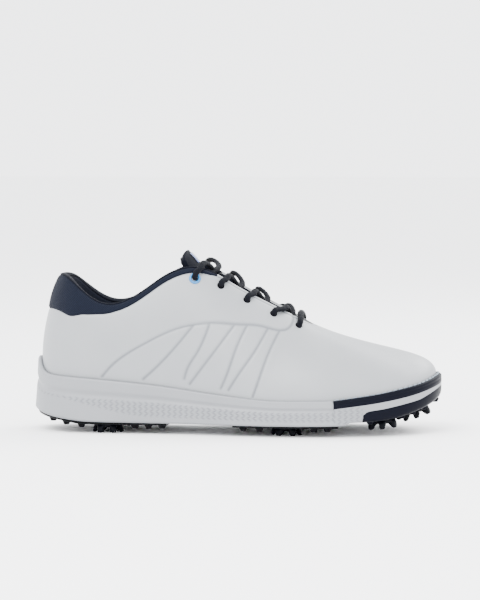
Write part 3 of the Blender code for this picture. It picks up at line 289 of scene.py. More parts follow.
HAIR = 0.0004                 # half a gap, as a share of the way round
BAND_END_X = -13.0
BAND_HEIGHT = profile((-131, 27.5), (-118, 25), (-108, 16), (-97, 9.5), (-84, 6.5), (-60, 6), (-30, 5.2),
                      (-20, 4.6), (BAND_END_X, 2.4))


def band_end_u():
    return u_at_top_x(BAND_END_X)


def band_bottom(u):
    """Lower edge of the navy collar panel."""
    return v_below_edge(u, float(BAND_HEIGHT(NET_CURVE(u)[9])))


def eyelet_u(x):
    """The lateral u of the lace hole at x."""
    candidates = np.linspace(KNOTS[4], KNOTS[11], 61)
    xs = [skin(u, v_below_edge(u, EYELET_DROP))[0] for u in candidates]
    return float(np.interp(x, xs, candidates))


EYELET_US = [eyelet_u(x) for x in EYELET_XS]


def on_facing(row, side, drop, height, toward_toe=0.0):
    """A point near a lace hole: drop below the facing's edge, height above the skin (below if negative),
    moved toward the next hole, 1 being that hole."""
    rows = EYELET_US
    step = rows[min(row + 1, 4)] - rows[max(row, 0)] if row < 4 else rows[4] - rows[3]
    u = rows[row] + toward_toe * step
    u = u if side < 0 else 1 - u
    point, normal, upward = skin_frame(np.array(u), np.array(v_below_edge(u, max(drop, 0.0))))
    return point + normal * height + upward * max(-drop, 0.0)


TONGUE_LINE = spline((0, 0.07, 0.16, 0.28, 0.45, 0.6, 0.75, 0.88, 1.0), (
    (61, 67.5), (54, 71.5), (45, 75.8), (30, 83.5), (10, 94.5), (-6, 104.2), (-20.4, 115.8), (-30, 127.0),
    (-37, 133.5)))
TONGUE_WIDTH = profile((0, 8), (0.1, 10), (0.2, 12), (0.35, 14.5), (0.5, 16.5), (0.7, 17), (0.86, 18.6),
                       (0.95, 18.2), (1, 15))
TONGUE_ARCH = profile((0, 36), (0.2, 36), (0.5, 30), (0.65, 28), (0.8, 30), (1, 46))


def tongue_frame(s):
    centre = TONGUE_LINE(s)
    along = unit(TONGUE_LINE(s + 1e-3) - TONGUE_LINE(s - 1e-3))
    return centre, along


def tongue(s, y, depth=0.0):
    """A point of the arched tongue: s from its stitched base to its head, y across, depth downward."""
    s, y = np.broadcast_arrays(np.asarray(s, float), np.asarray(y, float))
    centre, along = tongue_frame(s)
    width = TONGUE_ARCH(s)
    rise = 1.22 * width
    share = np.clip(y / width, -0.98, 0.98)
    drop = rise * (1 - np.sqrt(1 - share**2))
    lean = rise / width * share / np.sqrt(1 - share**2)
    facing = np.stack([-along[..., 1], along[..., 0]], axis=-1)
    facing = facing * np.where(facing[..., 1:2] < 0, -1.0, 1.0)
    plan = centre - facing * drop[..., None]
    point = np.stack([plan[..., 0], y, plan[..., 1]], axis=-1)
    normal = unit(np.stack([facing[..., 0], lean, facing[..., 1]], axis=-1))
    return point - normal * np.asarray(depth, float)[..., None]


LACE_OVER = 2.35              # lace centre above the facing
LACE_UNDER = -6.75            # lace centre below it, clear of the lining


def lace_half(side):
    """The lace from the middle of the toe bar through five holes on alternating sides, to its end."""
    points = []
    for row in range(4, -1, -1):
        here = side if (4 - row) % 2 == 0 else -side
        over = LACE_OVER if row else LACE_OVER + 1.0
        if row < 4:
            points.append(on_facing(row, here, -1.6, 2.2, 0.34))
            points.append(on_facing(row, here, 3.4, over, 0.2))
        else:
            points.append(on_facing(row, here, -1.6, 2.2, 0.0))
            points.append(on_facing(row, here, 3.4, over, 0.0))
        points.append(on_facing(row, here, 6.9, over, 0.04 if row < 4 else 0.0))
        points.append(on_facing(row, here, 8.9, over - 0.6))
        points.append(on_facing(row, here, EYELET_DROP, -0.6))
        points.append(on_facing(row, here, EYELET_DROP, -3.6))
        points.append(on_facing(row, here, 8.9, -5.9, -0.02))
        if row > 0:
            points.append(on_facing(row, here, 6.2, LACE_UNDER, -0.1))
            points.append(on_facing(row, here, 0.8, LACE_UNDER, -0.3))
            lift = 7.6 if here < 0 else 3.1
            points.append(throat_point(row, lift))
    end = side if len(EYELET_XS) % 2 else -side
    points += [on_facing(0, end, drop, -depth) for drop, depth in LACE_TAIL]
    return points


LACE_TAIL = ((15, 7.4), (24, 7.8), (34, 8.2), (44, 8.6), (53, 9.2))  # down inside the lining: drop, depth


def throat_point(row, lift):
    """Middle of the throat between a row and the next one toward the ankle, lifted off the tongue."""
    x = (EYELET_XS[row] + EYELET_XS[row - 1]) / 2
    fine = np.linspace(0.05, 0.95, 91)
    s = float(np.interp(-x, -TONGUE_LINE(fine)[:, 0], fine))
    return tongue(s, 0.0, -lift)


def lace_route():
    """The whole lace, end to end."""
    first = lace_half(-1)
    second = lace_half(1)
    middle = (first[0] + second[0]) / 2 + np.array((0, 0, 0.8))
    return np.array(first[::-1] + [middle] + second)


def even_points(route, spacing):
    """Evenly spaced points on a smooth curve through the route."""
    length = np.concatenate([[0], np.cumsum(np.linalg.norm(np.diff(route, axis=0), axis=1))])
    curve = spline(length, route)
    return curve(np.linspace(0, length[-1], max(int(length[-1] / spacing), 2) + 1))


# ---------------------------------------------------------------- sole
def both_sides(lateral):
    """The lateral u values followed by the matching medial ones, heel to toe and back."""
    lateral = np.asarray(lateral)
    inner = lateral[(lateral > 0) & (lateral < 0.5)]
    return np.concatenate([lateral, 1 - inner[::-1]])


def rim_height(u):
    """Height of the sole rim above the foot line, with its rise behind the heel."""
    foot = skin(u, np.zeros_like(u))
    heel = HEEL_CUP_RISE * np.exp(-(foot[:, 1] / 13)**2) * (foot[:, 0] < 0)
    return RIM_HEIGHT + heel


def cleat_places():
    """Each cleat seat: name, centre on the outsole's underside, and the upward normal there."""
    places = []
    for name, x, y in CLEATS:
        if x < TOE_PIECE_X:
            places.append((name, Vector((x, y, PLATE_Z)), Vector((0, 0, 1))))
            continue
        z = float(TOE_BOTTOM(x))
        slope = float(TOE_BOTTOM(x + 6) - TOE_BOTTOM(x - 6)) / 12
        up = Vector((-slope, 0, 1)).normalized()
        places.append((name, Vector((x, y, z)) - up * 0.6, up))
    return places


# ---------------------------------------------------------------- meshes
SHIFT = np.array(FRAME_SHIFT)


def finish_mesh(name, points, faces, look, body, nodes, uv=None, marks=None):
    """Turn millimetre points into a piece, with its finish, its body and the nodes that it stands for."""
    mesh = bpy.data.meshes.new(name)
    mesh.from_pydata(((np.asarray(points) + SHIFT) * MM).tolist(), [], faces)
    mesh.shade_smooth()
    if uv is not None:
        index = np.empty(len(mesh.loops), dtype=np.int32)
        mesh.loops.foreach_get("vertex_index", index)
        mesh.uv_layers.new(name="UVMap").data.foreach_set("uv", np.asarray(uv, np.float32)[index].ravel())
    for label, values in (marks or {}).items():
        attribute = mesh.attributes.new(label, "FLOAT", "POINT")
        attribute.data.foreach_set("value", np.asarray(values, np.float32).ravel())
    piece = bpy.data.objects.new(name, mesh)
    bpy.context.scene.collection.objects.link(piece)
    mesh.materials.append(look)
    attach(piece, body)
    if nodes:
        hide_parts(*nodes)
    return piece


def grid_faces(columns, rows, closed=False, start=0, flip=False):
    """Quads over a grid of points stored column by column."""
    faces = []
    for i in range(columns if closed else columns - 1):
        a, b = start + i * rows, start + ((i + 1) % columns) * rows
        faces += [(a + j, b + j, b + j + 1, a + j + 1) for j in range(rows - 1)]
    return [tuple(reversed(f)) for f in faces] if flip else faces


def arc_lengths(points):
    """Distance along the first axis of a grid, averaged over its rows."""
    step = np.linalg.norm(np.diff(points, axis=0), axis=2).mean(axis=1)
    return np.concatenate([[0], np.cumsum(step)])


def sheet_piece(name, grid, look, body, nodes, closed=False, marks=None, flip=False):
    """A piece from a grid of points, with its texture laid out in millimetres."""
    columns, rows = grid.shape[:2]
    along = np.repeat(arc_lengths(grid)[:, None], rows, axis=1)
    steps = np.linalg.norm(np.diff(grid, axis=1), axis=2)
    up = np.concatenate([np.zeros((columns, 1)), np.cumsum(steps, axis=1)], axis=1)
    uv = np.stack([along, up], axis=-1).reshape(-1, 2)
    faces = grid_faces(columns, rows, closed, flip=flip)
    return finish_mesh(name, grid.reshape(-1, 3), faces, look, body, nodes, uv, marks)


def tube_piece(name, path, look, body, nodes, width, height, sides=14, up=None, swell=None):
    """An oval cord swept along a path, its wide side lying across the reference direction."""
    path = np.asarray(path)
    travel = unit(np.gradient(path, axis=0))
    up = unit(up if up is not None else np.tile((0.25, 0.0, 1.0), (len(path), 1)))
    across = unit(np.cross(travel, up))
    over = np.cross(across, travel)
    angles = np.linspace(0, math.tau, sides, endpoint=False)
    scale = np.ones(len(path)) if swell is None else swell
    ring = (across[:, None, :] * (np.cos(angles) * width)[None, :, None]
            + over[:, None, :] * (np.sin(angles) * height)[None, :, None]) * scale[:, None, None]
    points = (path[:, None, :] + ring).reshape(-1, 3)
    faces = []
    for i in range(len(path) - 1):
        for k in range(sides):
            after = (k + 1) % sides
            faces.append((i * sides + k, i * sides + after, (i + 1) * sides + after, (i + 1) * sides + k))
    faces.append(tuple(reversed(range(sides))))
    faces.append(tuple((len(path) - 1) * sides + k for k in range(sides)))
    length = np.concatenate([[0], np.cumsum(np.linalg.norm(np.diff(path, axis=0), axis=1))])
    uv = np.stack([np.repeat(length, sides), np.tile(angles * width, len(path))], axis=-1)
    return finish_mesh(name, points, faces, look, body, nodes, uv)


# ---------------------------------------------------------------- materials
TONE = 0.45    # every colour of the shoe is scaled by this, for the brightness of the studio


def toned(colour):
    return (*(c * TONE for c in colour), 1)


def new_look(name, colour, roughness, **settings):
    """A Principled material with its own node tree; other sockets by keyword."""
    look = bpy.data.materials.new(name)
    look.use_nodes = True
    surface = look.node_tree.nodes["Principled BSDF"]
    surface.inputs["Base Color"].default_value = toned(colour)
    surface.inputs["Roughness"].default_value = roughness
    surface.inputs["Specular IOR Level"].default_value = 0.5 if max(colour) > 0.3 else 0.05
    for socket, value in settings.items():
        surface.inputs[socket.replace("_", " ")].default_value = value
    look.diffuse_color = (*colour, 1)
    return look


class Graph:
    """Short hands for the nodes of one material."""

    def __init__(self, look):
        self.nodes = look.node_tree.nodes
        self.links = look.node_tree.links
        self.surface = self.nodes["Principled BSDF"]

    def put(self, value, socket):
        if isinstance(value, (int, float)):
            socket.default_value = value
        else:
            self.links.new(value, socket)

    def math(self, operation, a, b=0.0):
        node = self.nodes.new("ShaderNodeMath")
        node.operation = operation
        self.put(a, node.inputs[0])
        self.put(b, node.inputs[1])
        return node.outputs[0]

    def place(self, kind="Object"):
        return self.nodes.new("ShaderNodeTexCoord").outputs[kind]

    def parts(self, vector):
        node = self.nodes.new("ShaderNodeSeparateXYZ")
        self.links.new(vector, node.inputs[0])
        return node.outputs[0], node.outputs[1]

    def noise(self, scale, detail=3.0, vector=None):
        node = self.nodes.new("ShaderNodeTexNoise")
        node.inputs["Scale"].default_value = scale
        node.inputs["Detail"].default_value = detail
        self.links.new(vector or self.place(), node.inputs["Vector"])
        return node.outputs["Fac"]

    def mark(self, label):
        node = self.nodes.new("ShaderNodeAttribute")
        node.attribute_name = label
        return node.outputs["Fac"]

    def mix(self, share, a, b):
        node = self.nodes.new("ShaderNodeMix")
        node.data_type = "RGBA"
        self.put(share, node.inputs["Factor"])
        for value, socket in ((a, node.inputs[6]), (b, node.inputs[7])):
            if isinstance(value, tuple):
                socket.default_value = toned(value)
            else:
                self.links.new(value, socket)
        return node.outputs[2]

    def colour(self, value):
        self.links.new(value, self.surface.inputs["Base Color"])

    def rough(self, value):
        self.links.new(value, self.surface.inputs["Roughness"])

    def bump(self, height, distance, strength=1.0):
        node = self.nodes.new("ShaderNodeBump")
        node.inputs["Strength"].default_value = strength
        node.inputs["Distance"].default_value = distance
        self.links.new(height, node.inputs["Height"])
        self.links.new(node.outputs[0], self.surface.inputs["Normal"])


def weave(graph, pitch):
    """Crossing threads in the texture's own millimetres, 0 in the gaps and 1 on the threads."""
    x, y = graph.parts(graph.place("UV"))
    a = graph.math("SINE", graph.math("MULTIPLY", graph.math("ADD", x, y), math.pi / pitch))
    b = graph.math("SINE", graph.math("MULTIPLY", graph.math("SUBTRACT", x, y), math.pi / pitch))
    return graph.math("ABSOLUTE", graph.math("MULTIPLY", a, b))


def microfibre_look():
    look = new_look("white_microfibre_skin", (0.78, 0.80, 0.82), 0.4, Coat_Weight=0.08, Coat_Roughness=0.35)
    graph = Graph(look)
    grain = graph.noise(1400, 4)
    cloud = graph.noise(28, 2)
    base = graph.mix(cloud, (0.44, 0.46, 0.485), (0.52, 0.54, 0.56))
    # Painted shade: the debossed arc, the flex lines and the seam groove are darkened in the colour.
    groove_shaded = graph.mix(graph.math("MULTIPLY", graph.mark("groove"), 0.75), base, (0.15, 0.17, 0.20))
    edged = graph.mix(graph.mark("edge"), groove_shaded, (0.50, 0.51, 0.52))
    graph.colour(edged)
    graph.links.new(graph.math("ADD", graph.math("MULTIPLY", grain, 0.16), 0.34),
                    graph.surface.inputs["Roughness"])
    graph.bump(graph.math("ADD", grain, graph.math("MULTIPLY", graph.noise(240, 3), 0.8)), 0.00009, 0.7)
    return look


def foam_look():
    look = new_look("white_midsole_foam", (0.62, 0.635, 0.665), 0.48)
    graph = Graph(look)
    speck = graph.noise(700, 5)
    base = graph.mix(graph.noise(20, 2), (0.36, 0.375, 0.40), (0.43, 0.445, 0.47))
    # Painted shade: the chevron dimples are darkened in the colour.
    graph.colour(graph.mix(graph.math("MULTIPLY", graph.mark("dimple"), 0.7), base, (0.13, 0.14, 0.17)))
    graph.rough(graph.math("ADD", graph.math("MULTIPLY", speck, 0.15), 0.4))
    graph.bump(speck, 0.00006, 0.6)
    return look


def mesh_look():
    look = new_look("navy_mesh_textile", (0.006, 0.008, 0.018), 0.75, Sheen_Weight=0.02)
    graph = Graph(look)
    threads = weave(graph, 1.5)
    fleck = graph.noise(1100, 3)
    base = graph.mix(threads, (0.0015, 0.002, 0.005), (0.012, 0.017, 0.036))
    graph.colour(graph.mix(graph.math("MULTIPLY", fleck, 0.3), base, (0.025, 0.032, 0.06)))
    graph.bump(graph.math("ADD", threads, graph.math("MULTIPLY", fleck, 0.4)), 0.0003, 0.9)
    return look


def textile_look(name, dark, light, pitch=0.7, sheen=0.01, roughness=0.7):
    look = new_look(name, light, roughness, Sheen_Weight=sheen)
    graph = Graph(look)
    threads = weave(graph, pitch)
    blend = graph.math("MULTIPLY", graph.math("ADD", threads, graph.noise(300, 3)), 0.5)
    graph.colour(graph.mix(blend, dark, light))
    graph.bump(threads, 0.00012, 0.8)
    return look


def rubber_look(name, colour, roughness=0.42, grain=600):
    look = new_look(name, colour, roughness)
    graph = Graph(look)
    speck = graph.noise(grain, 4)
    lighter = tuple(min(c * 1.9 + 0.001, 1.0) for c in colour)
    graph.colour(graph.mix(graph.math("MULTIPLY", speck, 0.6), colour, lighter))
    graph.rough(graph.math("ADD", graph.math("MULTIPLY", speck, 0.25), roughness - 0.12))
    graph.bump(speck, 0.00008, 0.6)
    return look


def lace_look():
    look = new_look("navy_lace_braid", (0.002, 0.003, 0.006), 0.6, Sheen_Weight=0.02)
    graph = Graph(look)
    x, y = graph.parts(graph.place("UV"))
    rise = graph.math("MULTIPLY", y, 1.4)
    lean = graph.math("SINE", graph.math("MULTIPLY", graph.math("ADD", x, rise), 3.6))
    back = graph.math("SINE", graph.math("MULTIPLY", graph.math("SUBTRACT", x, rise), 3.6))
    both = graph.math("ADD", graph.math("ABSOLUTE", lean), graph.math("ABSOLUTE", back))
    braid = graph.math("MULTIPLY", both, 0.5)
    graph.colour(graph.mix(braid, (0.001, 0.0012, 0.003), (0.006, 0.0075, 0.014)))
    graph.bump(braid, 0.0004, 0.8)
    return look


def tag_look():
    """Woven tag: white ground with plain blue bars."""
    look = new_look("tongue_tag_weave", (0.8, 0.82, 0.86), 0.5)
    graph = Graph(look)
    y = graph.parts(graph.place("UV"))[1]
    bars = graph.math("GREATER_THAN", graph.math("SINE", graph.math("MULTIPLY", y, math.tau / 6.5)), 0.1)
    graph.colour(graph.mix(bars, (0.75, 0.78, 0.84), (0.02, 0.10, 0.42)))
    graph.bump(weave(graph, 0.5), 0.0001, 0.6)
    return look


# ---------------------------------------------------------------- upper
UPPER_COLUMNS = 640
UPPER_ROWS = 96
ARC = ((-95.7, 41.5), (-89, 49.3), (-79.4, 57.1), (-63.1, 66.7), (-46.8, 74.8), (-32.8, 79.3), (-24.6, 80.7),
       (-8.3, 81.5), (2, 80.7), (20.5, 79.3), (26.4, 77.6), (33.8, 76.0), (38.6, 76.6), (42.0, 79.6),
       (42.8, 84.0), (42.2, 90.0))
FLEX_LINES = (
    ((-28.6, 79.6), (-41.1, 64.5), (-56.4, 48.2), (-65.3, 40.0)),
    ((-16.7, 80.8), (-26.1, 59.3), (-32.8, 48.2), (-35.0, 41.0)),
    ((1.7, 80.6), (-8.6, 66.7), (-22.7, 48.2), (-31.0, 37.0)),
    ((10.5, 80.0), (2.3, 61.5), (-4.2, 43.0), (-8.0, 34.5)),
    ((25.5, 78.0), (16.0, 60.4), (4.2, 43.7), (-2.2, 33.5)),
    ((33.7, 76.0), (27.8, 63.0), (20.7, 43.7), (15.6, 29.0)),
)
GROOVE_WIDTH = 0.95
GROOVE_DEPTH = 0.75


def rounded_line(points, count=60):
    """Closely spaced points on a smooth curve through a few."""
    points = np.asarray(points, float)
    length = np.concatenate([[0], np.cumsum(np.linalg.norm(np.diff(points, axis=0), axis=1))])
    return spline(length, points)(np.linspace(0, length[-1], count))


def distance_to_line(x, z, line):
    """Distance of every point to a polyline in the side view."""
    nearest = np.full(x.shape, 1e9)
    for a, b in zip(line[:-1], line[1:]):
        span = b - a
        t = np.clip(((x - a[0]) * span[0] + (z - a[1]) * span[1]) / (span @ span), 0, 1)
        nearest = np.minimum(nearest, np.hypot(x - a[0] - t * span[0], z - a[1] - t * span[1]))
    return nearest


def white_top(u):
    """Top of the white skin: tucked under the navy panel, or the bare edge along the facing."""
    away = min(u, 1 - u)
    return 1.0 if away > band_end_u() + HAIR else v_below_edge(u, float(BAND_HEIGHT(NET_CURVE(u)[9])) - 1.2)


def build_upper(look):
    """The white skin in one piece, with its debossed arc and flex lines and the cut edge of the facing."""
    us = np.linspace(0, 1, UPPER_COLUMNS, endpoint=False)
    tops = np.array([white_top(u) for u in us])
    share = np.linspace(0, 1, UPPER_ROWS)
    v = tops[:, None] * (1 - (1 - share[None, :])**1.15)
    u = np.repeat(us[:, None], UPPER_ROWS, axis=1)
    flat = skin(u, v)
    near = np.exp(-(distance_to_line(flat[..., 0], flat[..., 2], rounded_line(ARC)) / GROOVE_WIDTH)**2)
    for line in FLEX_LINES:
        far = distance_to_line(flat[..., 0], flat[..., 2], rounded_line(line, 24))
        near = np.maximum(near, np.exp(-(far / GROOVE_WIDTH)**2))
    near *= (flat[..., 0] < 60)
    facing = (np.minimum(us, 1 - us) > band_end_u())[:, None]
    from_top = np.linalg.norm(np.diff(flat[:, ::-1], axis=1), axis=2)
    drop = np.concatenate([np.zeros((UPPER_COLUMNS, 1)), np.cumsum(from_top, axis=1)], axis=1)[:, ::-1]
    seam = np.exp(-((drop - 2.4) / 0.5)**2) * facing
    tuck = 0.7 * np.exp(-(drop / 1.6)**2) * ~facing
    depth = GROOVE_DEPTH * near + 0.35 * seam + tuck
    surface = skin(u, v, depth)
    wrap_depths = (0.25, 0.9, 1.6)
    wraps = [skin(us, tops, d + 0.7 * ~facing[:, 0]) for d in wrap_depths]
    grid = np.concatenate([surface] + [w[:, None, :] for w in wraps], axis=1)
    # groove marks where the colour is darkened with painted shade in the grooves.
    groove = np.concatenate([np.maximum(near, 1.5 * seam), np.zeros((UPPER_COLUMNS, len(wraps)))], axis=1)
    bare = np.exp(-(drop / 0.7)**2) * facing
    edge = np.concatenate([bare, np.ones((UPPER_COLUMNS, len(wraps))) * facing], axis=1)
    sheet_piece("upper_skin", grid, look, "shoe", ["quarter_lateral", "quarter_medial", "vamp"],
                True, {"groove": groove, "edge": edge})


def build_collar(mesh, trim):
    """Navy heel and collar panel, padded, and the rolled binding above it."""
    end = band_end_u()
    us = np.linspace(-end, end, 300) % 1.0
    low = np.array([band_bottom(u) for u in us])
    high = np.array([v_below_edge(u, 1.0) for u in us])
    share = np.linspace(0, 1, 30)
    v = low[:, None] + (high - low)[:, None] * share[None, :]
    u = np.repeat(us[:, None], len(share), axis=1)
    height = np.clip(BAND_HEIGHT(NET_CURVE(us)[:, 9]), 2, 30)[:, None]
    puff = 0.35 + 0.045 * height * np.sin(math.pi * share[None, :])**0.6
    tuck = 1.1 * np.exp(-(share[None, :] * height / 0.8)**2)
    top = 0.5 * np.exp(-((1 - share[None, :]) * height / 1.2)**2)
    panel = sheet_piece("collar_panel_mesh", skin(u, v, -puff + tuck + top), mesh, "shoe",
                        ["heel_collar_panel"])
    point, normal, upward = skin_frame(us, np.ones_like(us))
    deep = LINING_DEPTHS[1] + padding(us, np.ones_like(us))
    angles = np.linspace(-0.5, math.pi + 0.5, 22)
    rows = []
    for angle in angles:
        across = (1 - math.cos(angle)) / 2
        rise = 1.3 * math.sin(angle) - 0.5
        rows.append(point - normal * (deep * across - 0.15)[:, None] + upward * rise)
    binding = sheet_piece("collar_binding_roll", np.stack(rows, axis=1), trim, "shoe",
                          ["collar_binding"])


def build_lining(look):
    """The textile inside, swelling over the collar foam."""
    us = np.linspace(0, 1, 320, endpoint=False)
    tops = np.array([v_below_edge(u, 0.9) if min(u, 1 - u) <= band_end_u() else 1.0 for u in us])
    share = np.linspace(0, 1, 40)
    v = tops[:, None] * share[None, :]
    u = np.repeat(us[:, None], len(share), axis=1)
    grid = skin(u, v, LINING_DEPTHS[1] + padding(u, v))
    rim = [skin(us, tops, d) for d in (3.0, 1.65)]
    facing = np.minimum(us, 1 - us) > band_end_u()
    rim = [np.where(facing[:, None], r, grid[:, -1]) for r in rim]
    full = np.concatenate([grid] + [r[:, None, :] for r in rim], axis=1)
    sheet_piece("lining_textile", full, look, "shoe", ["lining", "collar_foam"], True,
                flip=True)


# ---------------------------------------------------------------- tongue
def build_tongue(trim, lining, tag):
    """Padded tongue with its bound edge and a plain woven tag."""
    ss = np.linspace(0, 0.985, 90)
    share = np.linspace(-1, 1, 41)
    width = TONGUE_WIDTH(ss)[:, None] * 0.95
    s = np.repeat(ss[:, None], len(share), axis=1)
    y = width * share[None, :]
    crown = (1 - share[None, :]**4) * np.clip(ss[:, None] * 5, 0, 1)
    front = tongue(s, y, 0.35 - 0.35 * crown)
    back = tongue(s, y, 4.4 + 1.0 * crown)
    cover = sheet_piece("tongue_cover_padded", front, trim, "tongue", ["tongue_cover", "tongue_foam"],
                        flip=True)
    sheet_piece("tongue_lining_textile", back, lining, "tongue", ["tongue_lining"])
    up = [(a, -1.0) for a in np.linspace(0.3, 0.93, 44)]
    corner = [(0.93 + 0.052 * math.sin(a), -math.cos(a)) for a in np.linspace(0, math.pi, 60)]
    down = [(a, 1.0) for a in np.linspace(0.93, 0.3, 44)]
    edge = [(a, t * 0.955 * float(TONGUE_WIDTH(a))) for a, t in up + corner[1:-1] + down]
    path = np.array([tongue(a, b, 2.5) for a, b in edge])
    face = np.array([tongue(a, b, 1.5) for a, b in edge]) - path
    tube_piece("tongue_binding_roll", path, trim, "tongue", ["tongue_binding"],
               1.35, 2.75, 18, face)
    ts, ty = np.meshgrid(np.linspace(0.845, 0.945, 14), np.linspace(-6.6, 6.6, 16), indexing="ij")
    sheet_piece("tongue_tag_woven", tongue(ts, ty, -0.55), tag, "tongue", ["tongue_tag"], flip=True)


# ---------------------------------------------------------------- lace and eyelets
def build_lace(look, aglet, eyelet, dark):
    points = even_points(lace_route(), 1.1)
    up = np.stack([np.full(len(points), 0.3), points[:, 1] / 24, np.full(len(points), 0.9)], axis=-1)
    swell = 1 + 0.05 * np.sin(np.arange(len(points)) * 1.9)
    tube_piece("lace_braided", points, look, "shoe", ["lace"], 2.25, 1.65, 16, up, swell)
    for label, end, before in (("first", points[0], points[3]), ("second", points[-1], points[-4])):
        along = unit(end - before)
        path = [end + along * d for d in np.linspace(0, 18, 20)]
        tube_piece(f"aglet_sleeve_{label}", path, aglet, "shoe", [f"aglet_{label}"], 1.5, 1.4, 14)
    for label, side in SIDES.items():
        build_ring(f"eyelet_ring_{label}", [(0, side)], eyelet, [f"eyelet_{label}"],
                   ((2.3, -1.6), (2.35, 0.2), (2.6, 0.75), (3.1, 1.05), (3.7, 1.0), (4.2, 0.6), (4.35, 0.1)))
        rows = [(row, side) for row in range(1, 5)]
        build_ring(f"punched_holes_{label}", rows, dark, [],
                   ((0.05, 0.02), (1.6, 0.03), (2.75, 0.04), (2.8, 0.05)))


def build_ring(name, places, look, nodes, profile_points):
    """Turned rings on the facing, one at each hole, in a single piece."""
    sides = 48
    points = []
    faces = []
    for row, side in places:
        centre = Vector(on_facing(row, side, EYELET_DROP, 0.0))
        axis = Vector(on_facing(row, side, EYELET_DROP, 1.0)) - centre
        turn = axis.to_track_quat("Z", "Y")
        start = len(points)
        for k in range(sides):
            angle = math.tau * k / sides
            for r, z in profile_points:
                points.append(centre + turn @ Vector((r * math.cos(angle), r * math.sin(angle), z)))
        faces += grid_faces(sides, len(profile_points), True, start, flip=True)
    finish_mesh(name, np.array(points), faces, look, "shoe", nodes)


# ---------------------------------------------------------------- sole
SOLE_COLUMNS = 900
CHEVRON_PITCH = 4.3
CHEVRON_HEIGHT = 3.4


def chevrons(along, height):
    """Rows of small arrow-shaped dimples, 0 to 1."""
    lean = np.abs((height / CHEVRON_HEIGHT) % 1.0 - 0.5) * 2
    phase = (along / CHEVRON_PITCH + 0.55 * lean) % 1.0
    stroke = np.exp(-((phase - 0.5) / 0.2)**2)
    return stroke * (0.35 + 0.65 * np.sin(math.pi * ((height / CHEVRON_HEIGHT * 2) % 1.0)))


def midsole_wall():
    """Columns of the sole wall: every station's heights and offsets from the ground side to the rim."""
    u = np.linspace(0, 1, SOLE_COLUMNS, endpoint=False)
    foot = foot_frame(u)[0]
    x = foot[:, 0]
    return u, foot, x, x > TOE_PIECE_X, x > WELT_START_X


def build_midsole(look):
    u, foot, x, in_toe, in_welt = midsole_wall()
    rim = rim_height(u)
    flare = FLARE(x)
    rim_out = np.where(in_welt, flare - 0.05, bulge(u, rim) + 2.8)
    rim_in = np.where(in_welt, 0.8, bulge(u, rim) + 0.4)
    low = np.where(in_toe, TOE_WALL_TOP(x) + 0.05, MIDSOLE_Z(x))
    high = np.where(in_welt, WELT_BOTTOM(x) - 0.05, foot[:, 2] + rim)
    corner = np.where(in_toe, 0.4, EDGE_ROUND(x))
    rows = 52
    share = np.linspace(0, 1, rows)[None, :]
    z = low[:, None] + (high - low)[:, None] * share
    up = z - low[:, None]
    round_in = corner[:, None] * np.clip(1 - up / corner[:, None], 0, 1)**2 * 1.2
    waist = np.where(in_welt[:, None], 0.0, 0.9 * np.exp(-((share - 0.62) / 0.07)**2))
    band = np.where(in_welt[:, None], 0.0, 0.25 * smooth(0.68, 0.74, share))
    offset = flare[:, None] + (rim_out - flare)[:, None] * share**0.8 - round_in - waist + band
    top_round = np.where(in_welt[:, None], 0.0, 0.9 * smooth(0.955, 1.0, share)**2)
    offset = offset - top_round
    along = np.cumsum(np.concatenate([[0], np.linalg.norm(np.diff(foot[:, :2], axis=0), axis=1)]))
    heel = smooth(-60, -135, x)[:, None]
    start = 0.14 + 0.34 * heel
    zone = smooth(start, start + 0.06, share) * (1 - smooth(0.53, 0.56, share))
    zone = np.where(in_welt[:, None], smooth(0.05, 0.12, share) * (1 - smooth(0.9, 0.98, share)), zone)
    zone = zone * np.where(in_toe, 0.0, 1.0)[:, None]
    dimple = chevrons(along[:, None] + 0 * up, z) * zone
    offset = offset - 0.42 * dimple
    out = foot_frame(u)[1]
    plan = foot[:, None, :2] + out[:, None, :] * offset[..., None]
    wall = np.concatenate([plan, z[..., None]], axis=-1)
    inner = [outline(u, rim_in, high), outline(u, np.full(u.shape, 0.4), foot[:, 2] - TRAY_DROP)]
    under = [outline(u, np.full(u.shape, -FLAT_INSET), low), outline(u, flare - 1.5 * corner - 1.0, low)]
    grid = np.concatenate([p[:, None, :] for p in under] + [wall] + [p[:, None, :] for p in inner], axis=1)
    # The dimple mark also darkens the colour there, as painted shade.
    mark = np.concatenate([np.zeros((len(u), 2)), dimple, np.zeros((len(u), 2))], axis=1)
    columns, depth = grid.shape[:2]
    faces = grid_faces(columns, depth, True)
    middle = columns // 2
    for i in range(1, middle - 1):
        faces.append(tuple(k * depth for k in (i, columns - i, columns - i - 1, i + 1)))
    faces.append((0, (columns - 1) * depth, depth))
    faces.append(((middle - 1) * depth, (middle + 1) * depth, middle * depth))
    finish_mesh("midsole_wall", grid.reshape(-1, 3), faces, look, "shoe", ["midsole"],
                marks={"dimple": mark})


def front_columns(start_x, count):
    start = u_at_foot_x(start_x)
    return np.linspace(start, 1 - start, count)


